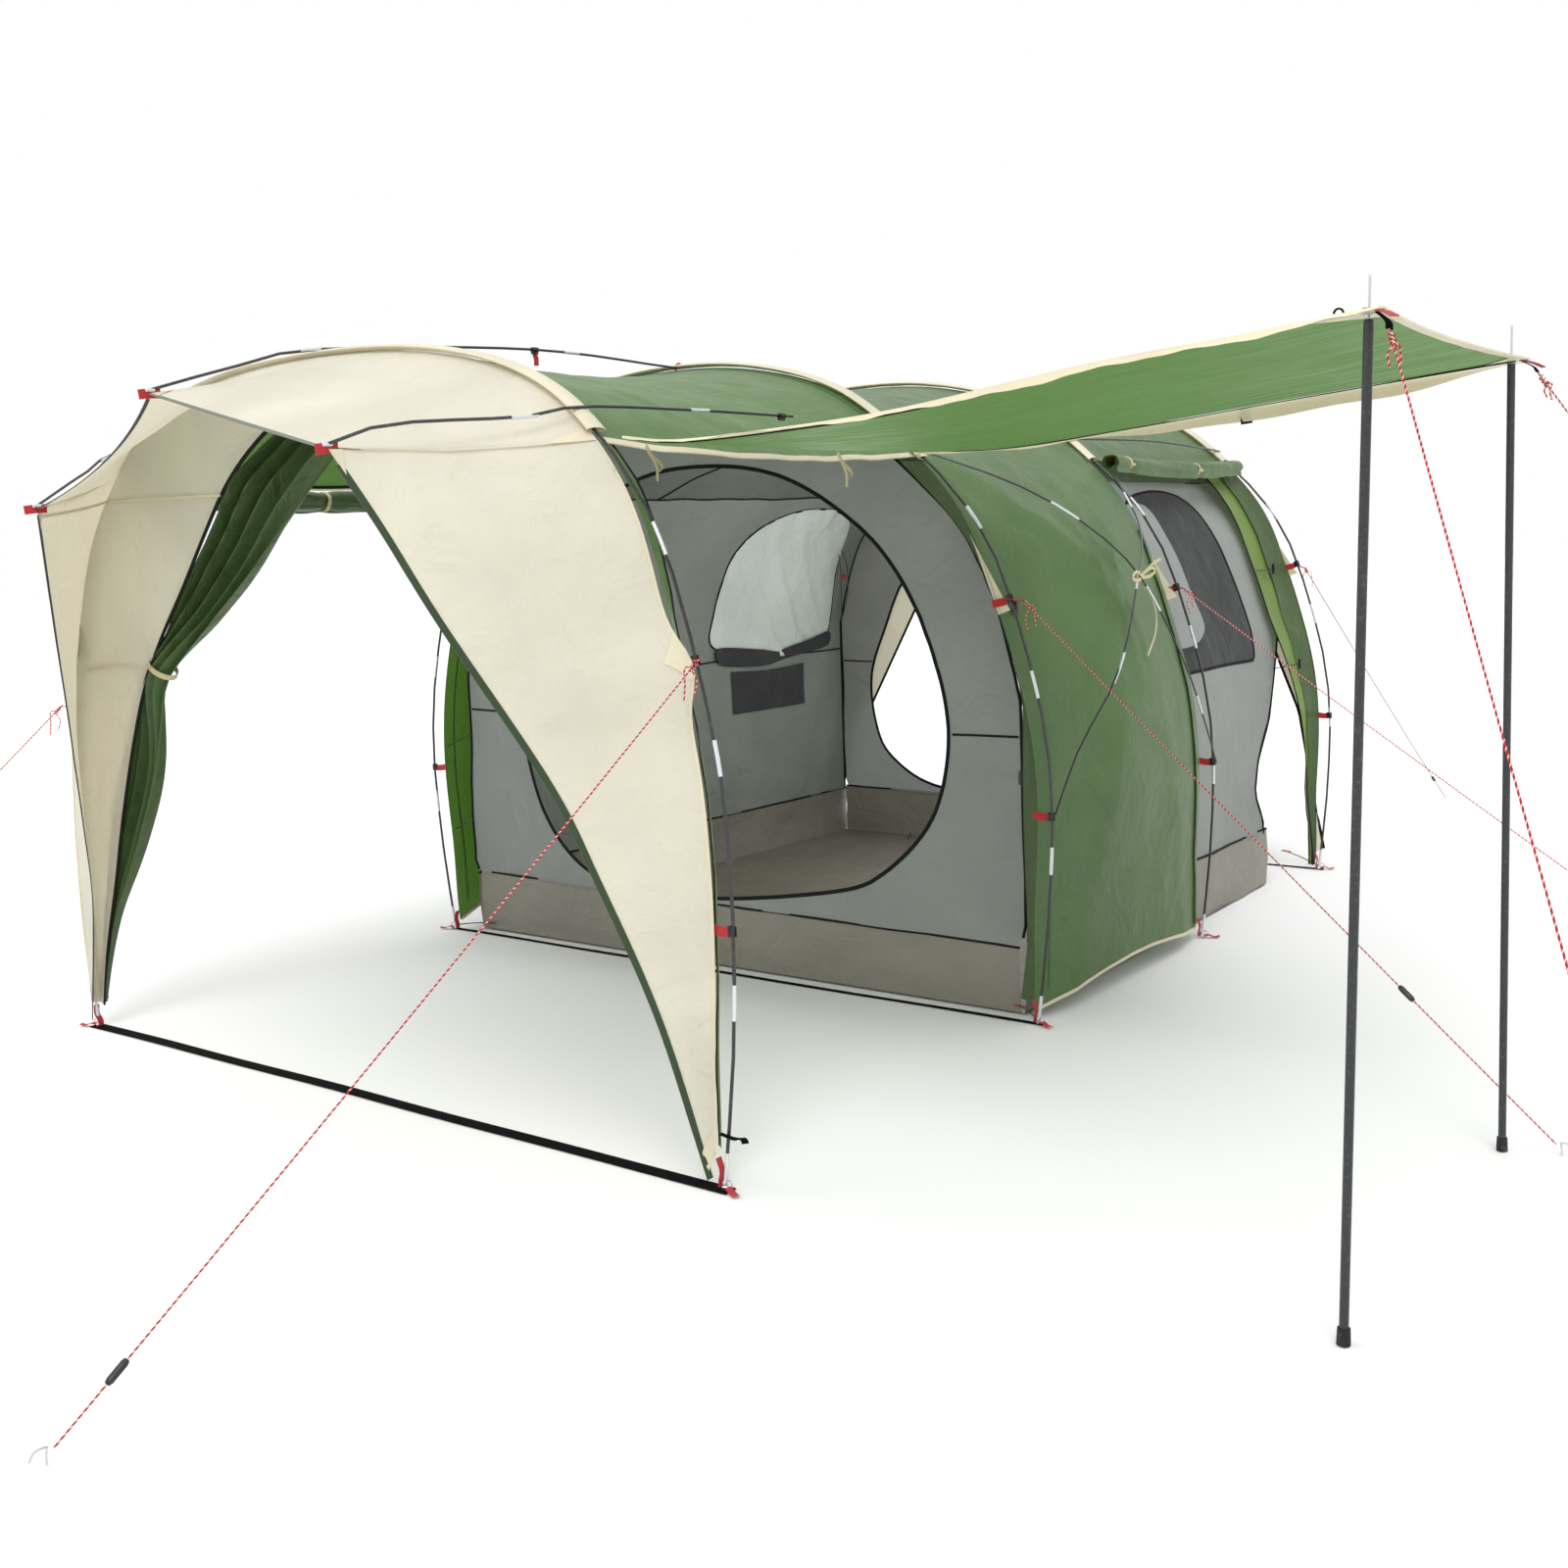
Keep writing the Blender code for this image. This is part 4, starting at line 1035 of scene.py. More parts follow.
def build_front_roof():
    left = [share_at(index, -1, ROOF_EDGE) for index in (0, 1)]
    right = [share_at(index, 1, ROOF_EDGE) for index in (0, 1)]
    place = fly_bay(0, lambda v: left[0] + (left[1] - left[0]) * v,
                    lambda v: right[0] + (right[1] - right[0]) * v, 0.055, 4)
    cloth("front_roof_cloth", place, 72, 34, "green", ["hoop_pole_1", "hoop_pole_2"],
          replaces=["fly_roof_front"])
    bm = new_mesh()
    for u in (0.0, 1.0):
        band(bm, place, (u, 0.0), (u, 1.0), 33, 0.020, 0.004)
    piece("roof_edge_binding", bm, "cream_trim")
    bm = new_mesh()
    for v in (0.03, 0.97):
        band(bm, place, (0.02, v), (0.98, v), 60, 0.012, 0.0016, lift=0.001)
    piece("front_roof_seams", bm, "green_seam")
    rolled("left_door_roll", [(-1.085, -2.98, 1.838), (-1.080, -2.4, 1.800), (-1.082, -1.9, 1.805),
                              (-1.095, -1.46, 1.838)], 0.044, (0.12, 0.5, 0.88), side=-1,
           material="curtain_green_and_painted_shade")
    edging("left_door_zip", "zip", place, (0.004, 0.0), (0.004, 1.0), 33, 0.012, 0.004, lift=-0.003)
    bm = new_mesh()
    for x, y, z, long in ((1.10, -2.90, 1.86, 0.09), (1.045, -1.95, 1.862, 0.10)):
        for k in (0, 1):
            path = [(x - 0.014, y, z + 0.004), (x + 0.004, y - 0.006, z - 0.02),
                    (x + 0.012 + 0.02 * k, y + 0.008, z - long * 0.6),
                    (x + 0.004 + 0.03 * k, y + 0.018 * (1 - 2 * k), z - long * (1 - 0.2 * k))]
            sweep(bm, smooth(path, 15), tape_section(0.011, TIE), (0.3, 1.0, 0))
    piece("canopy_ties", bm, "tie")


ROLL_TURNS = 2.2


def rolled(name, ends, radius, ties, side=1, replaces=(), material="green"):
    """A wall rolled up under the roof: a spiral of cloth pinched by its ties."""
    path = smooth(ends, 61)
    across, up = frames(path, None)
    rows = []
    for t, point, right, above in zip(np.linspace(0, 1, 61), path, across, up):
        pinch = 1 - 0.22 * sum(exp(-((t - tie) / 0.022) ** 2) for tie in ties)
        row = []
        for a in np.linspace(0, ROLL_TURNS * 2 * pi, 58):
            r = radius * pinch * (1 - 0.030 * a) * (1 + 0.09 * sin(2 * a + 6 * t) + 0.05 * sin(5 * a + 11 * t))
            r += rumple((cos(a) * 2, sin(a) * 2, t * 14), 1.0, 0.003, 9)
            angle = -0.6 + a
            row.append(point + right * side * r * cos(angle) + above * 0.9 * r * sin(angle))
        lip = [row[0] + right * side * 0.002 - above * d for d in (0.020, 0.010)]
        rows.append(lip + row)
    bm = new_mesh()
    grid(bm, rows)
    obj = piece(name, bm, material, replaces=replaces, smooth_angle=70)
    declare(rows)
    bm = new_mesh()
    for tie in ties:
        centre = path[int(tie * 60)]
        loop = [centre + ((radius * 0.84) * cos(a), 0.002 * sin(3 * a), (radius * 0.80) * sin(a))
                for a in np.linspace(0, 2 * pi, 25)]
        sweep(bm, loop, tape_section(0.014, 0.003), np.array(loop) - centre)
        toggle = centre + (side * radius * 0.95, 0, -radius * 0.1)
        sweep(bm, [toggle - (0, 0.016, 0), toggle, toggle + (0, 0.016, 0)], round_section(0.006, 10))
    piece(name + "_ties", bm, "tie")
    return obj


def build_canopy():
    """The side door held out flat: it hangs from its root and its two pole tips, and sags in between."""
    near = smooth([(1.118, -3.020, 1.878), (1.30, -3.030, 1.858), (1.60, -3.030, 1.866), (1.95, -3.034, 1.888),
                   (2.40, -3.036, 1.945), (2.72, -3.034, 1.973), (3.000, -3.034, 2.0015)], 61)
    far = smooth([(1.012, -1.460, 1.883), (1.415, -1.560, 1.871), (1.85, -1.640, 1.900), (2.269, -1.700, 1.936),
                  (2.70, -1.745, 1.972), (2.966, -1.762, 1.9925)], 61)

    def place(u, v):
        point = on_path(near, u) * (1 - v) + on_path(far, u) * v
        inside = 4 * v * (1 - v)
        point[2] -= 0.030 * inside * sin(pi * min(1, max(0, u))) ** 0.8
        point[0] -= 0.035 * inside * max(0, u) ** 5
        fade = min(1.0, inside * 2.0) * min(1.0, 12 * (1 - u) + 0.1) * min(1.0, 14 * u + 0.1)
        point[2] += rumple((point[0] * 0.5, point[1] * 3.2, 0), 3.4, 0.0065, 12) * fade
        point[2] += 0.0022 * sin(46 * v + 5 * sin(3 * u)) * fade * step(u, 0.0, 0.5)
        return point

    cloth("canopy_cloth", place, 72, 40, "green_canopy", ["canopy_spike_near", "canopy_spike_far"],
          body="canopy", replaces=["canopy"], held="hung")
    bm = new_mesh()
    band(bm, place, (0.0, 0.0), (1.0, 0.0), 60, 0.012, 0.0045, lift=0.001)
    band(bm, place, (1.0, 0.0), (1.0, 1.0), 40, 0.016, 0.0045)

    def near_flap(u, v):
        width = 0.004 + 0.012 * step(u, 0.25, 0.55) * (1 - 0.75 * step(u, 0.72, 0.98))
        edge = on_path(near, u)
        ripple = 0.003 * sin(23 * u) + 0.002 * sin(51 * u + 1) + 0.001 * sin(131 * u)
        return edge + np.array([0, -0.006 - 0.003 * v, 0.004 - (width + ripple * v) * v])

    grid(bm, rows_of(near_flap, 90, 4))

    def far_flap(u, v):
        width = 0.004 + 0.030 * step(u, 0.30, 0.60) * (1 - step(u, 0.80, 1.0))
        edge = on_path(far, u)
        return edge + np.array([0, 0.006 + 0.004 * v, -0.004 - (width + 0.003 * sin(31 * u)) * v])

    grid(bm, rows_of(far_flap, 90, 4))
    piece("canopy_binding", bm, "cream_trim", body="canopy")
    bm = new_mesh()
    band(bm, place, (0.02, 0.978), (0.99, 0.978), 60, 0.024, 0.003, lift=-0.003)
    band(bm, place, (0.02, 0.008), (0.60, 0.008), 60, 0.008, 0.003, lift=-0.003)
    middle = on_path(far, 0.62)
    sweep(bm, [middle + (0, 0.011, 0.0), middle + (0.004, 0.013, -0.045)], tape_section(0.032, 0.004),
          (0, 1, 0))
    piece("canopy_dark_hem", bm, "zip", body="canopy")
    bm = new_mesh()
    for u0, u1, v0, v1 in ((0.93, 1.0, 0.0, 0.09), (0.93, 1.0, 0.91, 1.0)):
        near_v, far_v = (v0, v1) if v0 == 0 else (v1, v0)
        for lift in (0.0022, -0.0022):
            patch(bm, place, ((u1, near_v), (u0, near_v), (u1, far_v)), lift=lift)
    piece("canopy_patches", bm, "patch", body="canopy")
    steel, black, red = new_mesh(), new_mesh(), new_mesh()
    for eye, out in (((2.971, -3.006, 1.998), -1), ((2.938, -1.790, 1.988), 1)):
        eye = np.array(eye)
        for side in (-1, 1):
            washer = [eye + (0.0085 * cos(a), 0.0085 * sin(a), 0.0035 * side)
                      for a in np.linspace(0, 2 * pi, 25)]
            sweep(steel, washer, round_section(0.0026, 6, 0.5), (0, 0, 1))
        loop = [eye + (-0.050 + 0.009 * cos(a), -0.020, 0.002 + 0.009 * sin(a))
                for a in np.linspace(0, pi, 13)]
        sweep(black, loop, round_section(ELASTIC_RADIUS, 6))
        tab = [eye + (0.012, out * 0.018, 0.004), eye + (0.040, out * 0.034, -0.004),
               eye + (0.062, out * 0.050, -0.016)]
        sweep(red, smooth(tab, 7), tape_section(0.020, WEBBING), (0, 0, 1))
    piece("canopy_eyelets", steel, "steel", body="canopy", smooth_angle=30)
    piece("canopy_loops", black, "tape", body="canopy")
    piece("canopy_red_tabs", red, "red_tape", body="canopy")


def elastic(bm, inner, outer, drop):
    """A cord that ties the cabin's wall to the fly, hanging a little."""
    sweep(bm, [inner, inner * 0.5 + outer * 0.5 + (0, 0, -drop), outer], round_section(ELASTIC_RADIUS, 6))


def toggle(bm, at):
    """The bar that an elastic hooks on."""
    sweep(bm, [at + (0.01, 0, -0.022), at + (0.01, 0, 0.022)],
          [(-0.007, -0.006), (0.007, -0.006), (0.007, 0.006), (-0.007, 0.006)])


def guy_patch(bm, index, side, low, high, shift):
    """A cream triangle from the fly's seam out to the leg, where a guy is tied."""
    rows = []
    for t in np.linspace(0, 1, 9):
        share = share_at(index, side, low + (high - low) * t)
        inner, outer = seam(index, share, 0.012), arch(index, share, 0.014)
        inner[1] += shift
        outer = inner * t ** 0.8 + outer * (1 - t ** 0.8)
        rows.append([inner * (1 - s) + outer * s for s in np.linspace(0, 1, 6)])
    grid(bm, rows)


def build_middle_bay():
    """The bay between the second and third hoops; the crossed poles pull its right wall out to a point."""
    place = fly_bay(1, hem_share(1, -1, 0.10), hem_share(1, 1, 0.055), 0.05, 21, pull=0.135, pleat=0.009)
    cloth("middle_bay_cloth", place, 132, 40, "green", ["hoop_pole_2", "hoop_pole_3"], replaces=["fly_middle"])
    bm = new_mesh()
    for u in (0.0, 1.0):
        band(bm, place, (u, 0.01), (u, 0.99), 40, 0.012, 0.004)
    piece("middle_bay_hem", bm, "cream_trim")
    bm = new_mesh()
    for low, high in ((0.008, 0.235), (0.765, 0.992)):
        band(bm, place, (low, 0.055), (high, 0.055), 50, 0.010, 0.0016, lift=0.001)
        band(bm, place, (low, 0.945), (high, 0.945), 50, 0.010, 0.0016, lift=0.001)
    piece("middle_bay_seams", bm, "green_seam")

    def turned_back(u, v):
        at = 0.735 + 0.262 * v
        width = 0.10 * (0.5 + 0.5 * sin(pi * min(1.0, max(0.0, v)) ** 0.8))
        base = lifted(place, 0.004 + 0.006 * u)(at, 0.995)
        ahead = lifted(place, 0.004 + 0.006 * u)(at, 0.995 - width / 1.3)
        return base * (1 - u) + ahead * u

    cloth("middle_bay_turned_edge", turned_back, 6, 50, "green", ["hoop_pole_3"], held="folded")
    bm = new_mesh()
    for index, low, high, shift in ((1, -0.035, 0.24, 0.012), (2, -0.035, 0.24, -0.012), (3, -0.04, 0.18, 0.0)):
        for side in (-1, 1):
            height = CLIP_HEIGHTS[index][0]
            guy_patch(bm, index, side, height + low, height + high, shift)
    piece("leg_guy_patches", bm, "patch")
    bm = new_mesh()
    cross = np.array((1.512, -0.845, 1.437))
    for turn in (0, 1):
        loop = [cross + (0.010 * cos(a), 0.016 * sin(a) * (1 if turn else -1), 0.016 * sin(a) + 0.003 * turn)
                for a in np.linspace(0, 2 * pi, 21)]
        sweep(bm, loop, tape_section(0.010, 0.002), (1.0, 0, 0))
    for path in ([cross, cross + (0.012, -0.050, 0.022), cross + (0.014, -0.085, 0.004),
                  cross + (0.012, -0.045, -0.008),
                  cross + (0.008, 0, 0)],
                 [cross, cross + (0.014, 0.055, 0.030), cross + (0.016, 0.095, 0.022),
                  cross + (0.014, 0.055, 0.004),
                  cross + (0.008, 0, 0)],
                 [cross, cross + (0.018, 0.045, -0.06), cross + (0.012, 0.105, -0.13),
                  cross + (0.016, 0.085, -0.20),
                  cross + (0.010, 0.035, -0.27)],
                 [cross, cross + (0.014, 0.08, 0.045), cross + (0.012, 0.15, 0.060)]):
        sweep(bm, smooth(path, 21), tape_section(0.011, TIE), (1.0, 0.1, 0))
    piece("cross_tie", bm, "tie")
    bm = new_mesh()
    for y, z in ((-1.355, 1.36), (-1.345, 0.80)):
        share = share_at(1, 1, z)
        inner = np.array([1.30, y, z])
        outer = seam(1, share) + (0, 0.03, 0)
        elastic(bm, inner, outer, 0.004)
        toggle(bm, inner)
    for y, z in ((-1.36, 1.30), (-1.36, 0.78), (-1.36, 0.42)):
        share = share_at(1, -1, z)
        inner, outer = np.array([-1.29, y, z + 0.05]), seam(1, share) + (0, 0.03, 0)
        elastic(bm, inner, outer, 0.0)
    piece("cabin_elastics", bm, "plastic")

    def inner_strip(u, v):
        z = 1.86 - 1.80 * v
        outer = seam(1, share_at(1, 1, max(0.02, z))) + (0, 0.012, 0)
        inner = np.array([cabin_half(FRONT_Y, z) + 0.012, -1.352 + 0.006 * sin(7 * z), z])
        return outer * (1 - u) + inner * u

    # this forward-facing strip takes the darker curtain green as painted shade
    cloth("middle_bay_inner_strip", inner_strip, 5, 50, "curtain_green_and_painted_shade", ["hoop_pole_2"])


def build_rear_bay():
    """The last bay, with its right wall rolled up under the roof and a narrow wing left before the hoop."""
    top = share_at(2, 1, 1.895)
    place = fly_bay(2, hem_share(2, -1, 0.08), constant(top), 0.045, 31)
    cloth("rear_bay_cloth", place, 110, 40, "green", ["hoop_pole_3", "hoop_pole_4"], replaces=["fly_rear"])
    edging("rear_bay_hem", "cream_trim", place, (0.0, 0.01), (0.0, 0.99), 40, 0.020, 0.004)
    rolled("side_roll_cloth", [(1.052, -0.100, 1.868), (1.048, 0.30, 1.852), (1.035, 0.75, 1.848),
                               (1.010, 1.300, 1.868)],
           0.037, (0.10, 0.62), replaces=["fly_side_roll"])

    top_share = share_at(3, 1, 1.885)

    def wing(u, v):
        v = min(1.0, max(0.0, v))
        at = top_share + (0.997 - top_share) * v
        back = seam(3, at)
        height = back[2]
        deep = 0.25 + 0.07 * sin(pi * min(1, max(0, (1.885 - height) / 1.3)))
        deep *= min(1.0, 0.05 + height / 1.25)
        ahead = back + np.array([-0.045 * (1 - v), -deep, 0])
        point = back * (1 - u) + ahead * u
        fold = sin(pi * u)
        point[0] += (-0.020 * fold + rumple(point, 6.0, 0.008, 33) * fold)
        return point

    cloth("rear_wing_cloth", wing, 14, 64, "green_bright", ["hoop_pole_4"])
    bm = new_mesh()
    band(bm, wing, (0.52, 0.0), (0.48, 1.0), 60, 0.010, 0.004, lift=-0.004)
    band(bm, wing, (1.0, 0.0), (1.0, 1.0), 60, 0.008, 0.004)
    piece("rear_wing_zip", bm, "zip")
    edging("rear_wing_piping", "green_dark", wing, (0.0, 0.0), (0.0, 1.0), 60, 0.010, 0.004)

    def overlap(u, v):
        return lifted(wing, 0.006 + 0.003 * sin(9 * v))(0.03 + 0.44 * u, 0.01 + 0.98 * v)

    cloth("rear_wing_overlap", overlap, 8, 60, "curtain_green_and_painted_shade", ["hoop_pole_4"], held="folded")
    bm = new_mesh()
    for z in (1.42, 0.98):
        share = share_at(3, 1, z)
        outer, inner = seam(3, share) + (-0.01, -0.16, 0), np.array([1.20, 1.06, z - 0.02])
        elastic(bm, inner, outer, 0.006)
        toggle(bm, outer)
    for index, side, corner in ((1, 1, (1.27, -1.33, 0.03)), (1, -1, (-1.22, -1.33, 0.03)),
                                (3, 1, (1.22, 1.31, 0.10)), (3, -1, (-1.24, 1.31, 0.03))):
        foot = arch(index, 1.0 if side > 0 else 0.0)
        corner = np.array(corner)
        path = [corner, corner * 0.5 + foot * 0.5 + (0, 0, 0.012), foot + (-side * 0.014, 0, 0.020)]
        sweep(bm, smooth(path, 9), round_section(0.0024, 6))
    piece("floor_elastics", bm, "plastic")
    bm = new_mesh()
    for corner, side in (((1.27, -1.33, 0.03), 1), ((-1.22, -1.33, 0.03), -1), ((1.22, 1.31, 0.10), 1)):
        corner = np.array(corner)
        sweep(bm, [corner + (-side * 0.01, 0, 0.0), corner + (side * 0.03, 0, -0.004)],
              tape_section(0.020, 0.003), (0, 0, 1))
    piece("floor_tabs", bm, "red_tape")


def build_end_wall():
    """The fly's rear wall, with a wide opening between two slanting edges."""
    angles = [(-1.36, 0.10), (-1.27, 0.40), (-1.109, 0.683), (-0.83, 1.15), (-0.47, 1.76), (-0.36, 1.84),
              (0.36, 1.84), (0.47, 1.76), (0.90, 1.30), (1.14, 1.06), (1.26, 0.74), (1.31, 0.40), (1.36, 0.10)]
    inner = resample(np.array(angles), 91)
    outer = resample(np.array([seam(3, share)[[0, 2]] for share in np.linspace(0.012, 0.988, 121)]), 91)

    def wall(u, v):
        x, z = on_path(outer, v) * (1 - u) + on_path(inner, v) * u
        y = HOOP_Y[3] + HOOP_LEAN[3] * z + 0.006
        y += rumple((x, 0, z), 3.5, 0.010, 41) * min(1.0, 4 * u * (1 - u))
        return np.array([x, y, z])

    cloth("end_wall_cloth", wall, 12, 110, "cream", ["hoop_pole_4"], replaces=["fly_end_wall"])
    edging("end_wall_edge", "zip", wall, (1.0, 0.0), (1.0, 1.0), 110, 0.012, 0.004)


# Cabin

CABIN_INSET = 0.11
CABIN_HALF_X = {1: 1.31, 3: 1.24}
FRONT_Y, REAR_Y = -1.335, 1.335
WALL_TOP, WALL_END = 1.80, 1.325        # where the side walls end above and at each end


def cabin_profile(index):
    """The cabin wall's (height, half width) from the floor to the ceiling's middle."""
    shares = np.linspace(1.0, 0.5, 121)
    points = [arch(index, share, CABIN_INSET) for share in shares]
    return (np.array([p[2] for p in points]), np.array([min(p[0], CABIN_HALF_X[index]) for p in points]))


PROFILES = {index: cabin_profile(index) for index in (1, 3)}


def cabin_half(y, z):
    share = (y - FRONT_Y) / (REAR_Y - FRONT_Y)
    front, rear = (np.interp(z, *PROFILES[index]) for index in (1, 3))
    return front * (1 - share) + rear * share


def wall_rear_edge(z):
    """The right wall's rear edge is drawn in by its elastics and falls loose between them."""
    return float(np.interp(z, (0.0, 0.28, 0.43, 0.55, 0.73, 1.1, 1.7),
                           (1.00, 0.99, 0.90, 0.93, 1.08, 1.20, 1.32)))


def drawn_in(x, z):
    """How far the rear wall comes forward at its right side, to meet the right wall's edge."""
    return (REAR_Y - wall_rear_edge(z)) * step(x, 0.90, 1.22)


def side_wall(side):
    """A cabin side wall in its own (y, z)."""
    def place(y, z):
        if side > 0:
            loose = step(y, 0.2 + 0.72 * step(z, 0.75, 1.0), 1.33)
            y = y - (REAR_Y - wall_rear_edge(z)) * loose
        x = cabin_half(y, z)
        middle = max(0.0, 1 - (y / 1.33) ** 2)
        x -= 0.020 * middle * sin(pi * min(1, z / 1.7))
        x += rumple((y, z, side), 3.2, 0.012, 51) * middle ** 0.5
        x += 0.005 * sin(9 * y + 5 * z) * middle * exp(-((z - 1.0) / 0.5) ** 2)
        if side < 0:
            x = max(x, 1.0) if z < 0.2 else x
        return np.array([side * x, y, z])
    return place


def folds_of(place):
    """The window's cover, with the slanting folds of loose cloth."""
    def folded(y, z):
        ripple = sin(38 * (0.85 * y + 0.55 * z)) + 0.6 * sin(71 * (0.80 * y + 0.62 * z) + 1)
        edge = min(1.0, 9 * (y - 0.20), 9 * (1.20 - y))
        return place(y, z) + np.array([0.003 + 0.005 * (1 + ripple) * max(0.0, edge), 0, 0])
    return folded


LEFT_WINDOW = ((0.207, 1.100), (0.210, 1.25), (0.225, 1.40), (0.27, 1.55), (0.37, 1.665), (0.58, 1.735),
               (0.85, 1.745), (1.05, 1.70), (1.15, 1.60), (1.185, 1.36), (1.200, 1.10), (1.00, 1.045),
               (0.81, 1.000), (0.55, 1.03), (0.33, 1.060))
RIGHT_WINDOW = ((-0.30, 1.018), (-0.28, 1.25), (-0.12, 1.52), (0.12, 1.70), (0.45, 1.755), (0.70, 1.745),
                (0.80, 1.68), (0.800, 1.54), (0.812, 1.40), (0.848, 1.267), (0.875, 1.116), (0.898, 1.045),
                (0.895, 1.018), (0.86, 1.014), (0.50, 1.018), (0.10, 1.016))
RIGHT_FLAP = ((-0.20, 1.20), (-0.18, 1.42), (-0.08, 1.62), (0.08, 1.70), (0.23, 1.70), (0.275, 1.66),
              (0.264, 1.557), (0.275, 1.376), (0.314, 1.254), (0.313, 1.193), (0.204, 1.141),
              (0.047, 1.125), (-0.086, 1.145))


def build_cabin():
    """The inner cabin: two end walls with round doors, two side walls with windows, a ceiling and a floor."""
    lowest, band_top = 0.005, 0.235
    doors = {
        "front": closed_smooth([(0.02, 0.262), (0.529, 0.339), (0.741, 0.419), (0.948, 0.62), (1.025, 0.861),
                                (1.009, 1.094), (0.893, 1.394), (0.70, 1.633), (0.368, 1.828),
                                (0.0, 1.885), (-0.36, 1.84), (-0.70, 1.64), (-0.90, 1.38), (-0.995, 1.09),
                                (-0.989, 0.797), (-0.878, 0.501), (-0.671, 0.310), (-0.362, 0.258)], 120),
        "rear": closed_smooth([(0.0, 0.262), (0.60, 0.285), (0.93, 0.42), (1.01, 0.62), (1.03, 0.86),
                               (0.95, 1.116), (0.822, 1.376), (0.55, 1.60), (0.0, 1.70), (-0.55, 1.60),
                               (-0.822, 1.376), (-0.954, 1.116), (-1.05, 0.86), (-1.03, 0.60),
                               (-0.93, 0.42), (-0.631, 0.275)],
                              120),
    }
    for name, index, y in (("front", 1, FRONT_Y), ("rear", 3, REAR_Y)):
        heights, halves = PROFILES[index]
        right = np.array([(half, z) for z, half in zip(heights, halves) if z > band_top + 0.03])
        outer = np.vstack([[(halves[0] - 0.01, band_top)], right, right[::-1] * (-1, 1),
                           [(-halves[0] + 0.01, band_top)]])
        outer = resample(np.vstack([outer, outer[:1]]), 181)[:-1]
        for side in (1, -1):
            corner = (side * (halves[0] - 0.01), band_top)
            outer[np.argmin(np.linalg.norm(outer - corner, axis=1))] = corner

        def flat(x, z, y=y, door=doors[name]):
            near = np.min(np.linalg.norm(door - (x, z), axis=1))
            loose = min(1.0, near / 0.10) * 0.7 + 0.3
            pulled = exp(-((x - 1.15) / 0.25) ** 2 - ((z - 1.40) / 0.25) ** 2)
            pull = 0.004 * sin(26 * atan2(z - 1.36, x - 1.42)) * pulled
            back = drawn_in(x, z) + 0.032 * step(z, 1.2, 2.0) if y > 0 else 0.0
            return np.array([x, y + rumple((x, 0, z), 3.4, 0.010, 61) * loose + pull - back, z])

        bm = new_mesh()
        ring(bm, doors[name], outer, 14, flat)
        wall = piece(f"cabin_{name}_wall_cloth", bm, "cabin", replaces=[f"cabin_{name}_wall"])
        declare_ring(wall, 2 * float(halves.max()), float(outer[:, 1].max() - band_top))
        bm = new_mesh()
        path, up = outline_path(doors[name], flat, 181)
        sweep(bm, path, round_section(0.0075, 8, 0.6), up, caps=False)
        seam_path = [flat(x, z) for x, z in outer if z > band_top + 0.02]
        sweep(bm, seam_path, round_section(0.0055, 8), None)
        for side in (-1, 1):
            far = float(np.interp(0.93, heights, halves))
            edge = np.array([flat(side * x, 0.93 + 0.012 * (x - 1.0))
                             for x in np.linspace(1.045, far - 0.01, 9)])
            sweep(bm, edge, tape_section(0.008, 0.003), (0, 1.0, 0))
        piece(f"cabin_{name}_door_piping", bm, "zip")

        def tub(u, v, y=y, index=index, halves=halves):
            x = (2 * u - 1) * (halves[0] + 0.010)
            top = band_top + 0.012 - 0.02 * u
            z = lowest + (top - lowest) * v
            back = drawn_in(x, z) if y > 0 else 0.0
            ripple = rumple((x, 0, z), 5.0, 0.009, 63) * v - 0.004 * sin(pi * v)
            return np.array([x, y + 0.003 + ripple - back, z])

        cloth(f"cabin_{name}_band", tub, 60, 7, "floor_band", ["groundsheet"])
        edging(f"cabin_{name}_band_piping", "zip", tub, (0.0, 1.0), (1.0, 1.0), 60, 0.008, 0.005)

    for side, name, window in ((-1, "left", LEFT_WINDOW), (1, "right", RIGHT_WINDOW)):
        place = side_wall(side)
        hole = closed_smooth(window, 110)
        edges = [(-WALL_END, band_top), (WALL_END, band_top), (WALL_END, WALL_TOP), (-WALL_END, WALL_TOP)]
        outer = np.vstack([resample([a, b], 40)[:-1] for a, b in zip(edges, edges[1:] + edges[:1])])
        bm = new_mesh()
        ring(bm, hole, outer, 14, place)
        wall = piece(f"cabin_{name}_wall_cloth", bm, "cabin")
        declare_ring(wall, 2 * WALL_END, WALL_TOP - band_top + 0.02)
        bm = new_mesh()
        disc(bm, hole, 16, folds_of(place) if side < 0 else place)
        # the left pane's whitish cloth carries painted glow for the light shining through it
        pane = piece(f"cabin_{name}_window", bm, "pale_and_painted_glow" if side < 0 else "mesh")
        span = hole.max(axis=0) - hole.min(axis=0)
        declare_ring(pane, float(span[0]), float(span[1]))
        bm = new_mesh()
        path, up = outline_path(hole, place, 141, 0.0)
        sweep(bm, path, round_section(0.0065, 8, 0.7), up, caps=False)
        corner = [place(WALL_END, z) for z in np.linspace(band_top, WALL_TOP, 30)]
        sweep(bm, corner, round_section(0.006, 8), None)
        if side < 0:
            line = [place(y, 1.005 + 0.006 * sin(4 * y)) + np.array([0.003, 0, 0])
                    for y in np.linspace(-1.31, 1.31, 60)]
            sweep(bm, line, tape_section(0.008, 0.003), (side, 0, 0))
        piece(f"cabin_{name}_piping", bm, "zip")

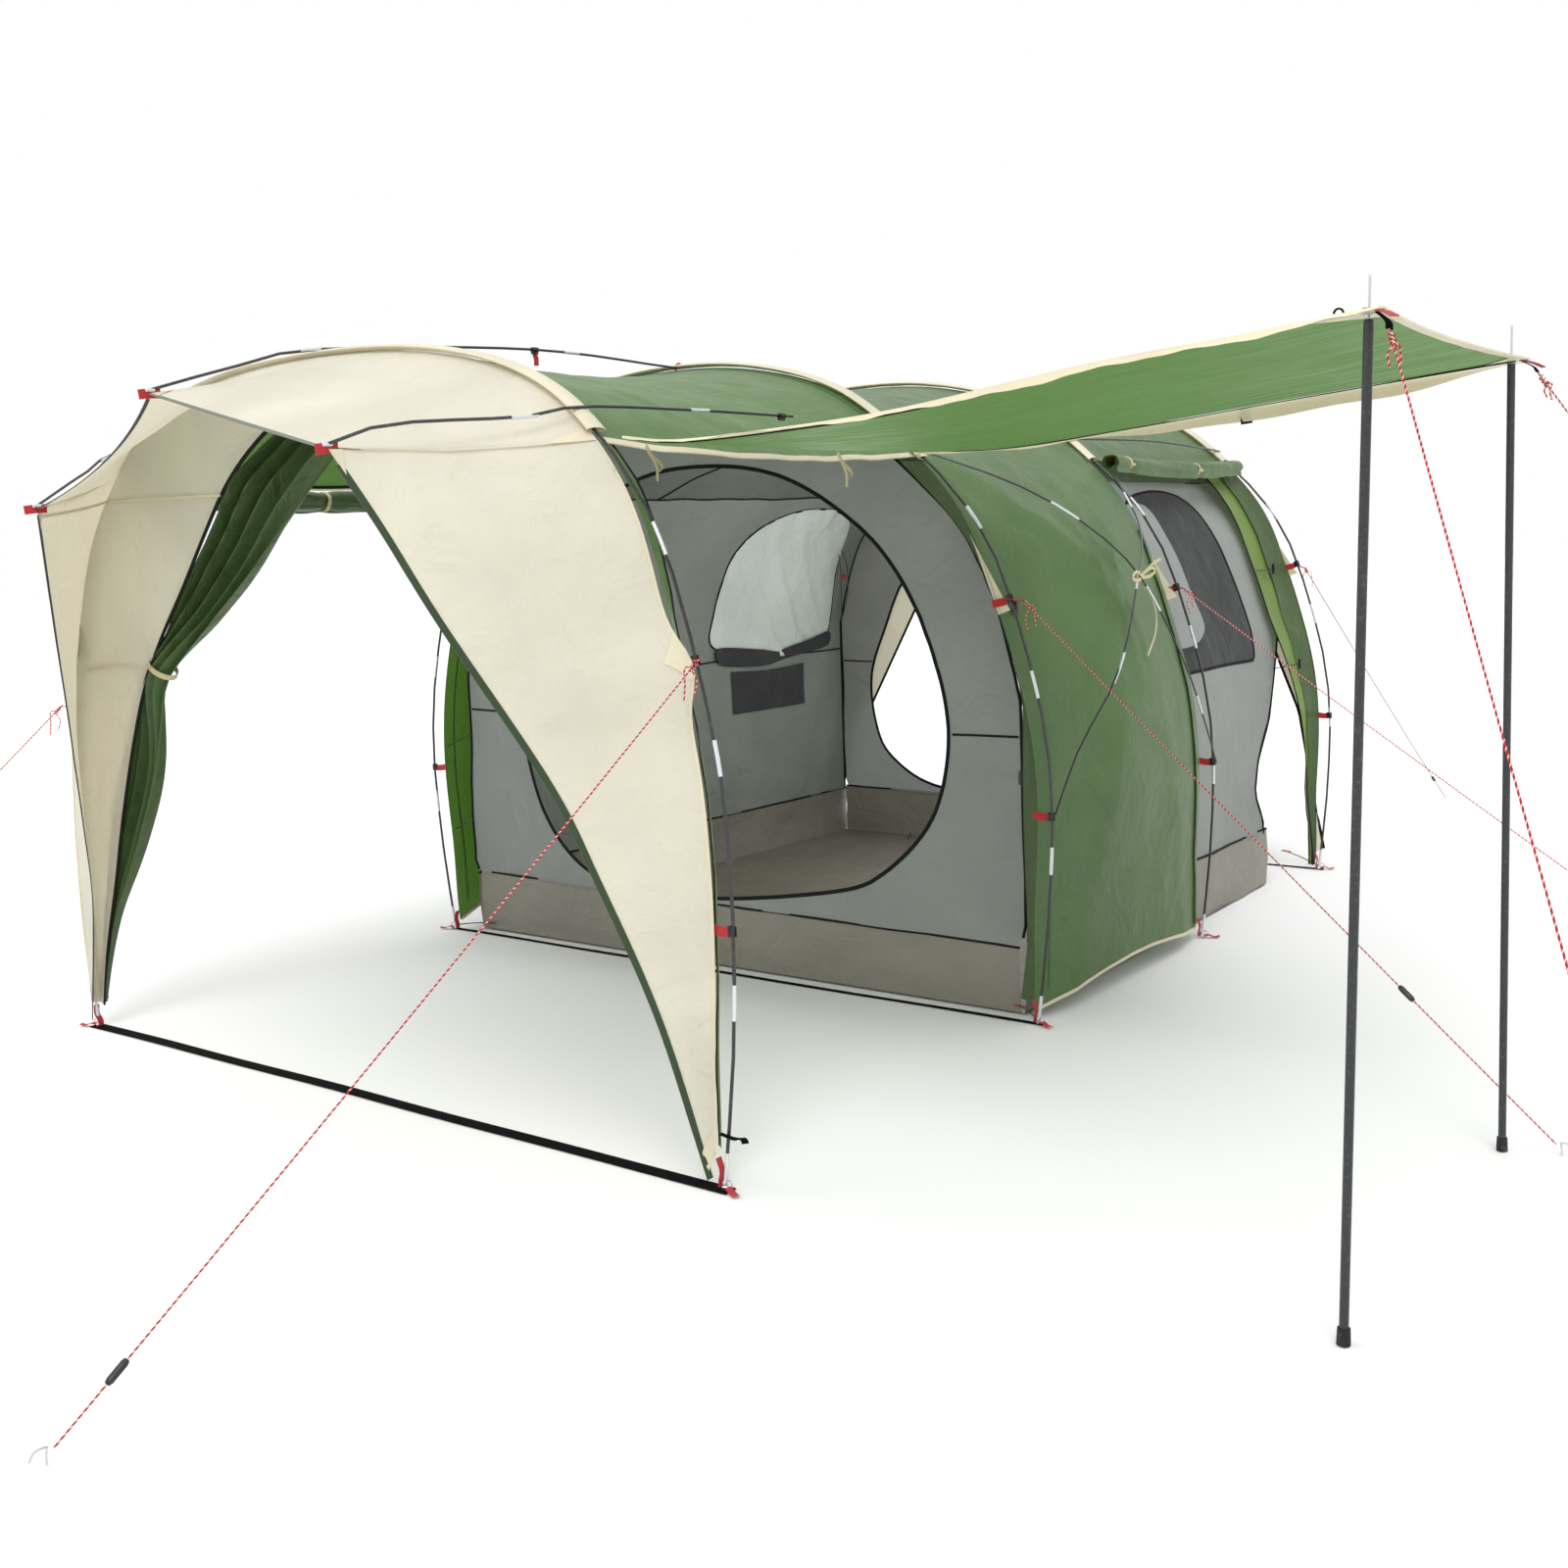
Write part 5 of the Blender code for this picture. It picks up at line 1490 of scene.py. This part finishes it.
        def tub(u, v, side=side, place=place):
            y = -WALL_END + 2.680 * u
            top = band_top + (0.018 if side > 0 else 0.0)
            z = lowest + (top - lowest) * v
            x, y, _ = place(y, max(z, 0.02))
            low_x = side * (1.297 - 0.052 * u)
            x = low_x * (1 - v) + x * v + side * 0.012 * sin(pi * v)
            return np.array([x + side * rumple((y, 0, z), 5.0, 0.008, 71), y, z])

        cloth(f"cabin_{name}_band", tub, 60, 7, "floor_band", ["groundsheet"])
        edging(f"cabin_{name}_band_piping", "zip", tub, (0.0, 1.0), (1.0, 1.0), 60, 0.009, 0.005)

    right, left = side_wall(1), side_wall(-1)
    bm = new_mesh()
    flap = closed_smooth(RIGHT_FLAP, 70)
    disc(bm, flap, 8,
         lambda y, z: right(y, z) + np.array([0.016 + 0.012 * sin(8 * y) + 0.03 * (1.56 - z) * 0.4, 0, 0]))
    loose = piece("right_window_flap", bm, "cabin_light")
    declare_ring(loose, 0.56, 0.62)
    bm = new_mesh()
    disc(bm, closed_smooth(((0.26, 1.075), (0.26, 1.00), (0.40, 0.972), (0.62, 0.965), (0.81, 0.985),
                            (1.02, 1.01), (1.19, 1.03), (1.195, 1.105), (1.00, 1.062), (0.81, 1.022),
                            (0.55, 1.052)), 60), 6,
         lambda y, z: left(y, z) + np.array([0.022 + 0.010 * sin(14 * y), 0, 0]))
    loose = piece("left_window_flap", bm, "mesh")
    declare_ring(loose, 0.96, 0.15)

    def pocket(u, v):
        y, z = 0.37 + 0.60 * u, 0.735 + 0.215 * v
        z -= 0.010 * sin(pi * u) * v
        out = 0.006 + 0.014 * sin(pi * u) * (0.4 + 0.6 * v) * abs(sin(2 * pi * u)) ** 0.3
        return left(y, z) + np.array([out, 0, 0])

    cloth("left_pocket", pocket, 26, 10, "mesh", ["groundsheet"], held="hung")

    def ceiling(u, v):
        y = FRONT_Y + 0.008 + (REAR_Y - FRONT_Y - 0.044) * v
        share = (y - FRONT_Y) / (REAR_Y - FRONT_Y)
        ends = []
        for index in (1, 3):
            low = share_at_inset(index, WALL_TOP)
            x, _, z = arch(index, low + (1 - 2 * low) * u, CABIN_INSET)
            ends.append(np.array([x, z]))
        x, z = ends[0] * (1 - share) + ends[1] * share
        swell = sin(pi * min(1, max(0, v)))
        z -= 0.05 * swell * cos(pi * (u - 0.5)) + rumple((x, y, 0), 3.0, 0.012, 81) * swell
        return np.array([x, y, z])

    # the ceiling takes the darkened cabin grey as painted shade
    cloth("cabin_ceiling", ceiling, 60, 34, "cabin_grey_painted_shade", ["hoop_pole_2", "hoop_pole_4"],
          replaces=["cabin_shell"], held="hung")
    bm = new_mesh()
    for start, end in (((0.0, 0.0), (0.0, 1.0)), ((1.0, 0.0), (1.0, 1.0)), ((0.30, 0.0), (0.30, 1.0)),
                       ((0.70, 0.0), (0.70, 1.0)), ((0.0, 0.30), (0.30, 0.55)), ((0.30, 0.55), (0.30, 0.85))):
        band(bm, ceiling, start, end, 50, 0.008, 0.003, lift=-0.003)
    piece("ceiling_seams", bm, "zip")

    def floor(u, v):
        x = (2 * u - 1) * (1.300 - 0.052 * v)
        y = -1.334 + 2.668 * v
        y -= drawn_in(x, 0.0) * step(y, 0.3, 1.33)
        inside = min(1.0, 14 * u * (1 - u)) * min(1.0, 14 * v * (1 - v))
        return np.array([x, y, 0.006 + 0.006 * inside + rumple((x, y, 0), 3.2, 0.005, 91) * inside])

    cloth("groundsheet_cloth", floor, 60, 60, "floor_inside", ["groundsheet"], replaces=["groundsheet"],
          held="laid")
    bm = new_mesh()
    loop = [(-1.16, 1.12, 1.60), (-1.17, 1.17, 1.45), (-1.19, 1.20, 1.28), (-1.20, 1.21, 1.16)]
    twin = [(-1.16, 1.12, 1.60), (-1.15, 1.20, 1.46), (-1.17, 1.23, 1.30), (-1.20, 1.21, 1.16)]
    for path in (loop, twin):
        sweep(bm, smooth([np.array(p) + (0.05, 0, 0) for p in path], 21), round_section(ELASTIC_RADIUS, 6))
    piece("cabin_hanging_loop", bm, "plastic")
    bm = new_mesh()
    sweep(bm, [(-1.11, 1.175, 1.40), (-1.09, 1.165, 1.385)], round_section(0.010, 8))
    piece("cabin_loop_toggle", bm, "red_tape")


def share_at_inset(index, height):
    """Where the cabin's own arch, inside the hoop's, passes this height on the left."""
    shares = np.linspace(0.05, 0.5, 200)
    return float(np.interp(height, [arch(index, share, CABIN_INSET)[2] for share in shares], shares))


def declare_ring(obj, width, length):
    area = sum(face.area for face in obj.data.polygons)
    area = min(max(area, 0.31 * width * length), width * length)


# Front wall and curtain

FRONT_DOOR_EDGE = ((0.0, 2.095), (0.16, 2.060), (0.36, 1.965), (0.53, 1.840), (0.66, 1.690), (0.80, 1.510),
                   (0.94, 1.340), (1.045, 1.180), (1.125, 1.00), (1.195, 0.800), (1.255, 0.600),
                   (1.310, 0.350), (1.350, 0.080))

FRONT_SEAM = 1.80                     # the height of the seam across each front panel


def build_front_wall():
    """The cream wall in the first hoop, open from its crown down to both feet."""
    half = smooth(FRONT_DOOR_EDGE, 61)
    inner = np.vstack([half[::-1] * (-1, 1), half[1:]])
    outer = resample(np.array([seam(0, share)[[0, 2]] for share in np.linspace(0.014, 0.986, 161)]), 121)

    def wall(u, v):
        x, z = on_path(outer, v) * (1 - u) + on_path(inner, v) * u
        y = HOOP_Y[0] + 0.004 - 0.018 * (1 - step(u, 0.0, 0.3)) + 0.03 * u * step(z, 0.1, 0.6)
        y += rumple((x, 0, z), 3.5, 0.012, 41) * min(1.0, 4 * u * (1 - u))
        return np.array([x, y, z])

    cloth("front_wall_cloth", wall, 10, 120, "cream", ["hoop_pole_1"])
    edging("front_wall_zip", "zip", wall, (1.0, 0.0), (1.0, 1.0), 120, 0.012, 0.004)
    bm = new_mesh()
    for side in (-1, 1):
        inside = float(np.interp(FRONT_SEAM, half[::-1, 1], half[::-1, 0]))
        outside = float(np.abs(seam(0, share_at(0, side, FRONT_SEAM))[0]))
        line = [(side * x, HOOP_Y[0] - 0.016 + 0.046 * t, FRONT_SEAM)
                for t, x in zip(np.linspace(0, 1, 9), np.linspace(outside, inside, 9))]
        sweep(bm, line, tape_section(0.009, 0.003), (0, 1.0, 0))
    piece("front_wall_seam", bm, "patch")


def build_curtain():
    """The front door's cloth, gathered in folds, tied back to the left leg and hanging down to its foot."""
    left = (smooth([(-0.12, 2.090), (-0.296, 2.002), (-0.422, 1.930), (-0.527, 1.866), (-0.590, 1.790),
                    (-0.670, 1.682), (-0.785, 1.545), (-0.908, 1.387), (-1.016, 1.283)], 41),
            smooth([(-1.016, 1.283), (-1.085, 1.190), (-1.172, 1.00), (-1.238, 0.84), (-1.293, 0.678),
                    (-1.340, 0.397), (-1.385, 0.085)], 37))
    right = (smooth([(0.20, 2.100), (-0.060, 1.926), (-0.305, 1.719), (-0.484, 1.554), (-0.702, 1.385),
                     (-0.930, 1.222)], 41),
             smooth([(-0.930, 1.222), (-0.970, 1.150), (-0.990, 1.056), (-1.045, 0.889), (-1.150, 0.648),
                     (-1.270, 0.400), (-1.368, 0.085)], 37))
    left, right = (np.vstack([a, b[1:]]) for a, b in (left, right))
    rows = []
    for k, (a, b) in enumerate(zip(left, right)):
        t = k / (len(left) - 1)
        tie = exp(-((k - 40) / 7.0) ** 2)
        deep = 0.030 + 0.020 * sin(pi * min(1, k / 40)) - 0.012 * tie
        row = []
        for u in np.linspace(0, 1, 85):
            spread = 4.0 + 1.2 * sin(2.2 * t)
            phase = 2 * pi * spread * (u + 0.10 * sin(3 * u + 2.0 * t)) + 1.5 * t
            x, z = a * (1 - u) + b * u
            side = np.array([a[1] - b[1], b[0] - a[0]])
            side = side / (np.linalg.norm(side) + 1e-9)
            low = step(k, 52, len(left) - 1)
            y = -2.975 - 0.052 * low + deep * sin(phase) * (0.75 + 0.25 * sin(5 * u + 3 * t)) * (1 - 0.75 * low)
            bunch = 0.045 * tie * sin(pi * u)
            y += rumple((x * 1.2, 0, z * 0.5), 3.0, 0.012, 101) - bunch
            shift = 0.010 * cos(phase) * (1 - tie) * (1 - 0.7 * low)
            row.append((x + side[0] * shift, y + 0.030 * sin(pi * u) * (1 - tie) * (1 - low),
                        z + side[1] * shift))
        rows.append(row)
    bm = new_mesh()
    grid(bm, rows)
    obj = piece("door_curtain_cloth", bm, "curtain_green_and_painted_shade", replaces=["door_curtain"], smooth_angle=80)
    declare(rows)
    bm = new_mesh()
    centre = np.array([-0.975, -2.985, 1.248])
    loop = []
    for a in np.linspace(0, 2 * pi, 33):
        loop.append(centre + (0.050 * cos(a), -0.004 + 0.042 * sin(a), -0.030 * cos(a)))
    sweep(bm, loop, tape_section(0.018, 0.003), np.array(loop) - centre)
    leg = arch(0, share_at(0, -1, 1.24))
    sweep(bm, smooth([centre + (-0.06, 0, 0.0), centre * 0.5 + leg * 0.5 + (0, 0.01, 0.012),
                      leg + (0.02, 0.01, 0.0)], 11),
          tape_section(0.016, WEBBING), (0, 1.0, 0))
    piece("curtain_tie", bm, "tie")


# Knots and loose ends of the guys

def build_guy_ends():
    """Each line is knotted at the tent through a red loop, with a short tail; two hang on the spikes."""
    cord, red = new_mesh(), new_mesh()
    for name, (start, peg) in GUYS.items():
        path = guy_path(start, peg, 33)
        start, away = path[0], path[1] - path[0]
        away /= np.linalg.norm(away)
        side = np.cross(away, (0, 0, 1.0))
        side /= np.linalg.norm(side)
        up = np.cross(side, away)
        for k in range(3):
            knot = start + away * (0.012 + 0.010 * k)
            loop = [knot + side * 0.0055 * cos(a) + up * 0.0055 * sin(a) + away * 0.0016 * a
                    for a in np.linspace(0, 2 * pi, 15)]
            sweep(cord, loop, round_section(GUY_RADIUS, 6), away)
        wide, reach_down = (0.012, 0.030) if "canopy" in name else (0.022, 0.070)
        for turn, long in ((1, reach_down), (-1, reach_down * 0.75)):
            tail = [start + away * 0.03, start + away * 0.045 + side * turn * wide * 0.5 + up * 0.008,
                    start + away * 0.04 + side * turn * wide - (0, 0, long * 0.5),
                    start + away * 0.05 + side * turn * wide * 0.85 - (0, 0, long)]
            sweep(cord, smooth(tail, 13), round_section(GUY_RADIUS, 6))
        if name in ANCHORS:
            anchor = np.array(ANCHORS[name])
            strap = [anchor, (anchor + start) / 2 - (0, 0, 0.004), start + away * 0.008]
            sweep(red, smooth(strap, 7), tape_section(0.015, 0.0025), (0, 0, 1))
    piece("guy_knots", cord, "guy")
    piece("guy_loops", red, "red_tape")
    bm = new_mesh()
    for eye, name in (((2.971, -3.006, 2.004), "guy_canopy_near"), ((2.938, -1.790, 1.994), "guy_canopy_far")):
        eye, start = np.array(eye), np.array(GUYS[name][0])
        loop = [eye + (0.008 * cos(a), 0.008 * sin(a), 0.002) for a in np.linspace(0, 2 * pi, 13)]
        sweep(bm, loop, tape_section(0.008, 0.002), (0, 0, 1))
        path = [eye + (0.006, 0, 0.002), eye * 0.35 + start * 0.65 + (0.010, 0, 0.002), start]
        sweep(bm, smooth(path, 11), tape_section(0.014, WEBBING), (0.3, 0, 1))
    piece("canopy_guy_straps", bm, "tape")


ANCHORS = {
    "guy_front_right": (1.345, -3.05, 1.322), "guy_front_left": (-1.385, -3.05, 1.125),
    "guy_second_right": (1.318, -1.425, 1.396), "guy_third_right": (1.30, -0.118, 1.377),
    "guy_rear_right": (1.26, 1.372, 1.42),
}


# Guy lines

def build_guys():
    """Each line runs from its loop on the tent to its peg."""
    for name, (start, peg) in GUYS.items():
        path = guy_path(start, peg, 33)
        bm = new_mesh()
        rod(bm, path, GUY_RADIUS, 8)
        # the rear line takes the darker braid as painted shade
        shaded = name == "guy_rear_right"
        line = piece(name + "_line", bm, "guy_painted_shade" if shaded else "guy", replaces=[name])


dress_cad()
build_guys()
build_sleeves()
build_ferrules()
build_clips()
build_feet()
build_ground_straps()
build_visor()
build_front_roof()
build_canopy()
build_middle_bay()
build_rear_bay()
build_end_wall()
build_cabin()
build_front_wall()
build_curtain()
build_guy_ends()
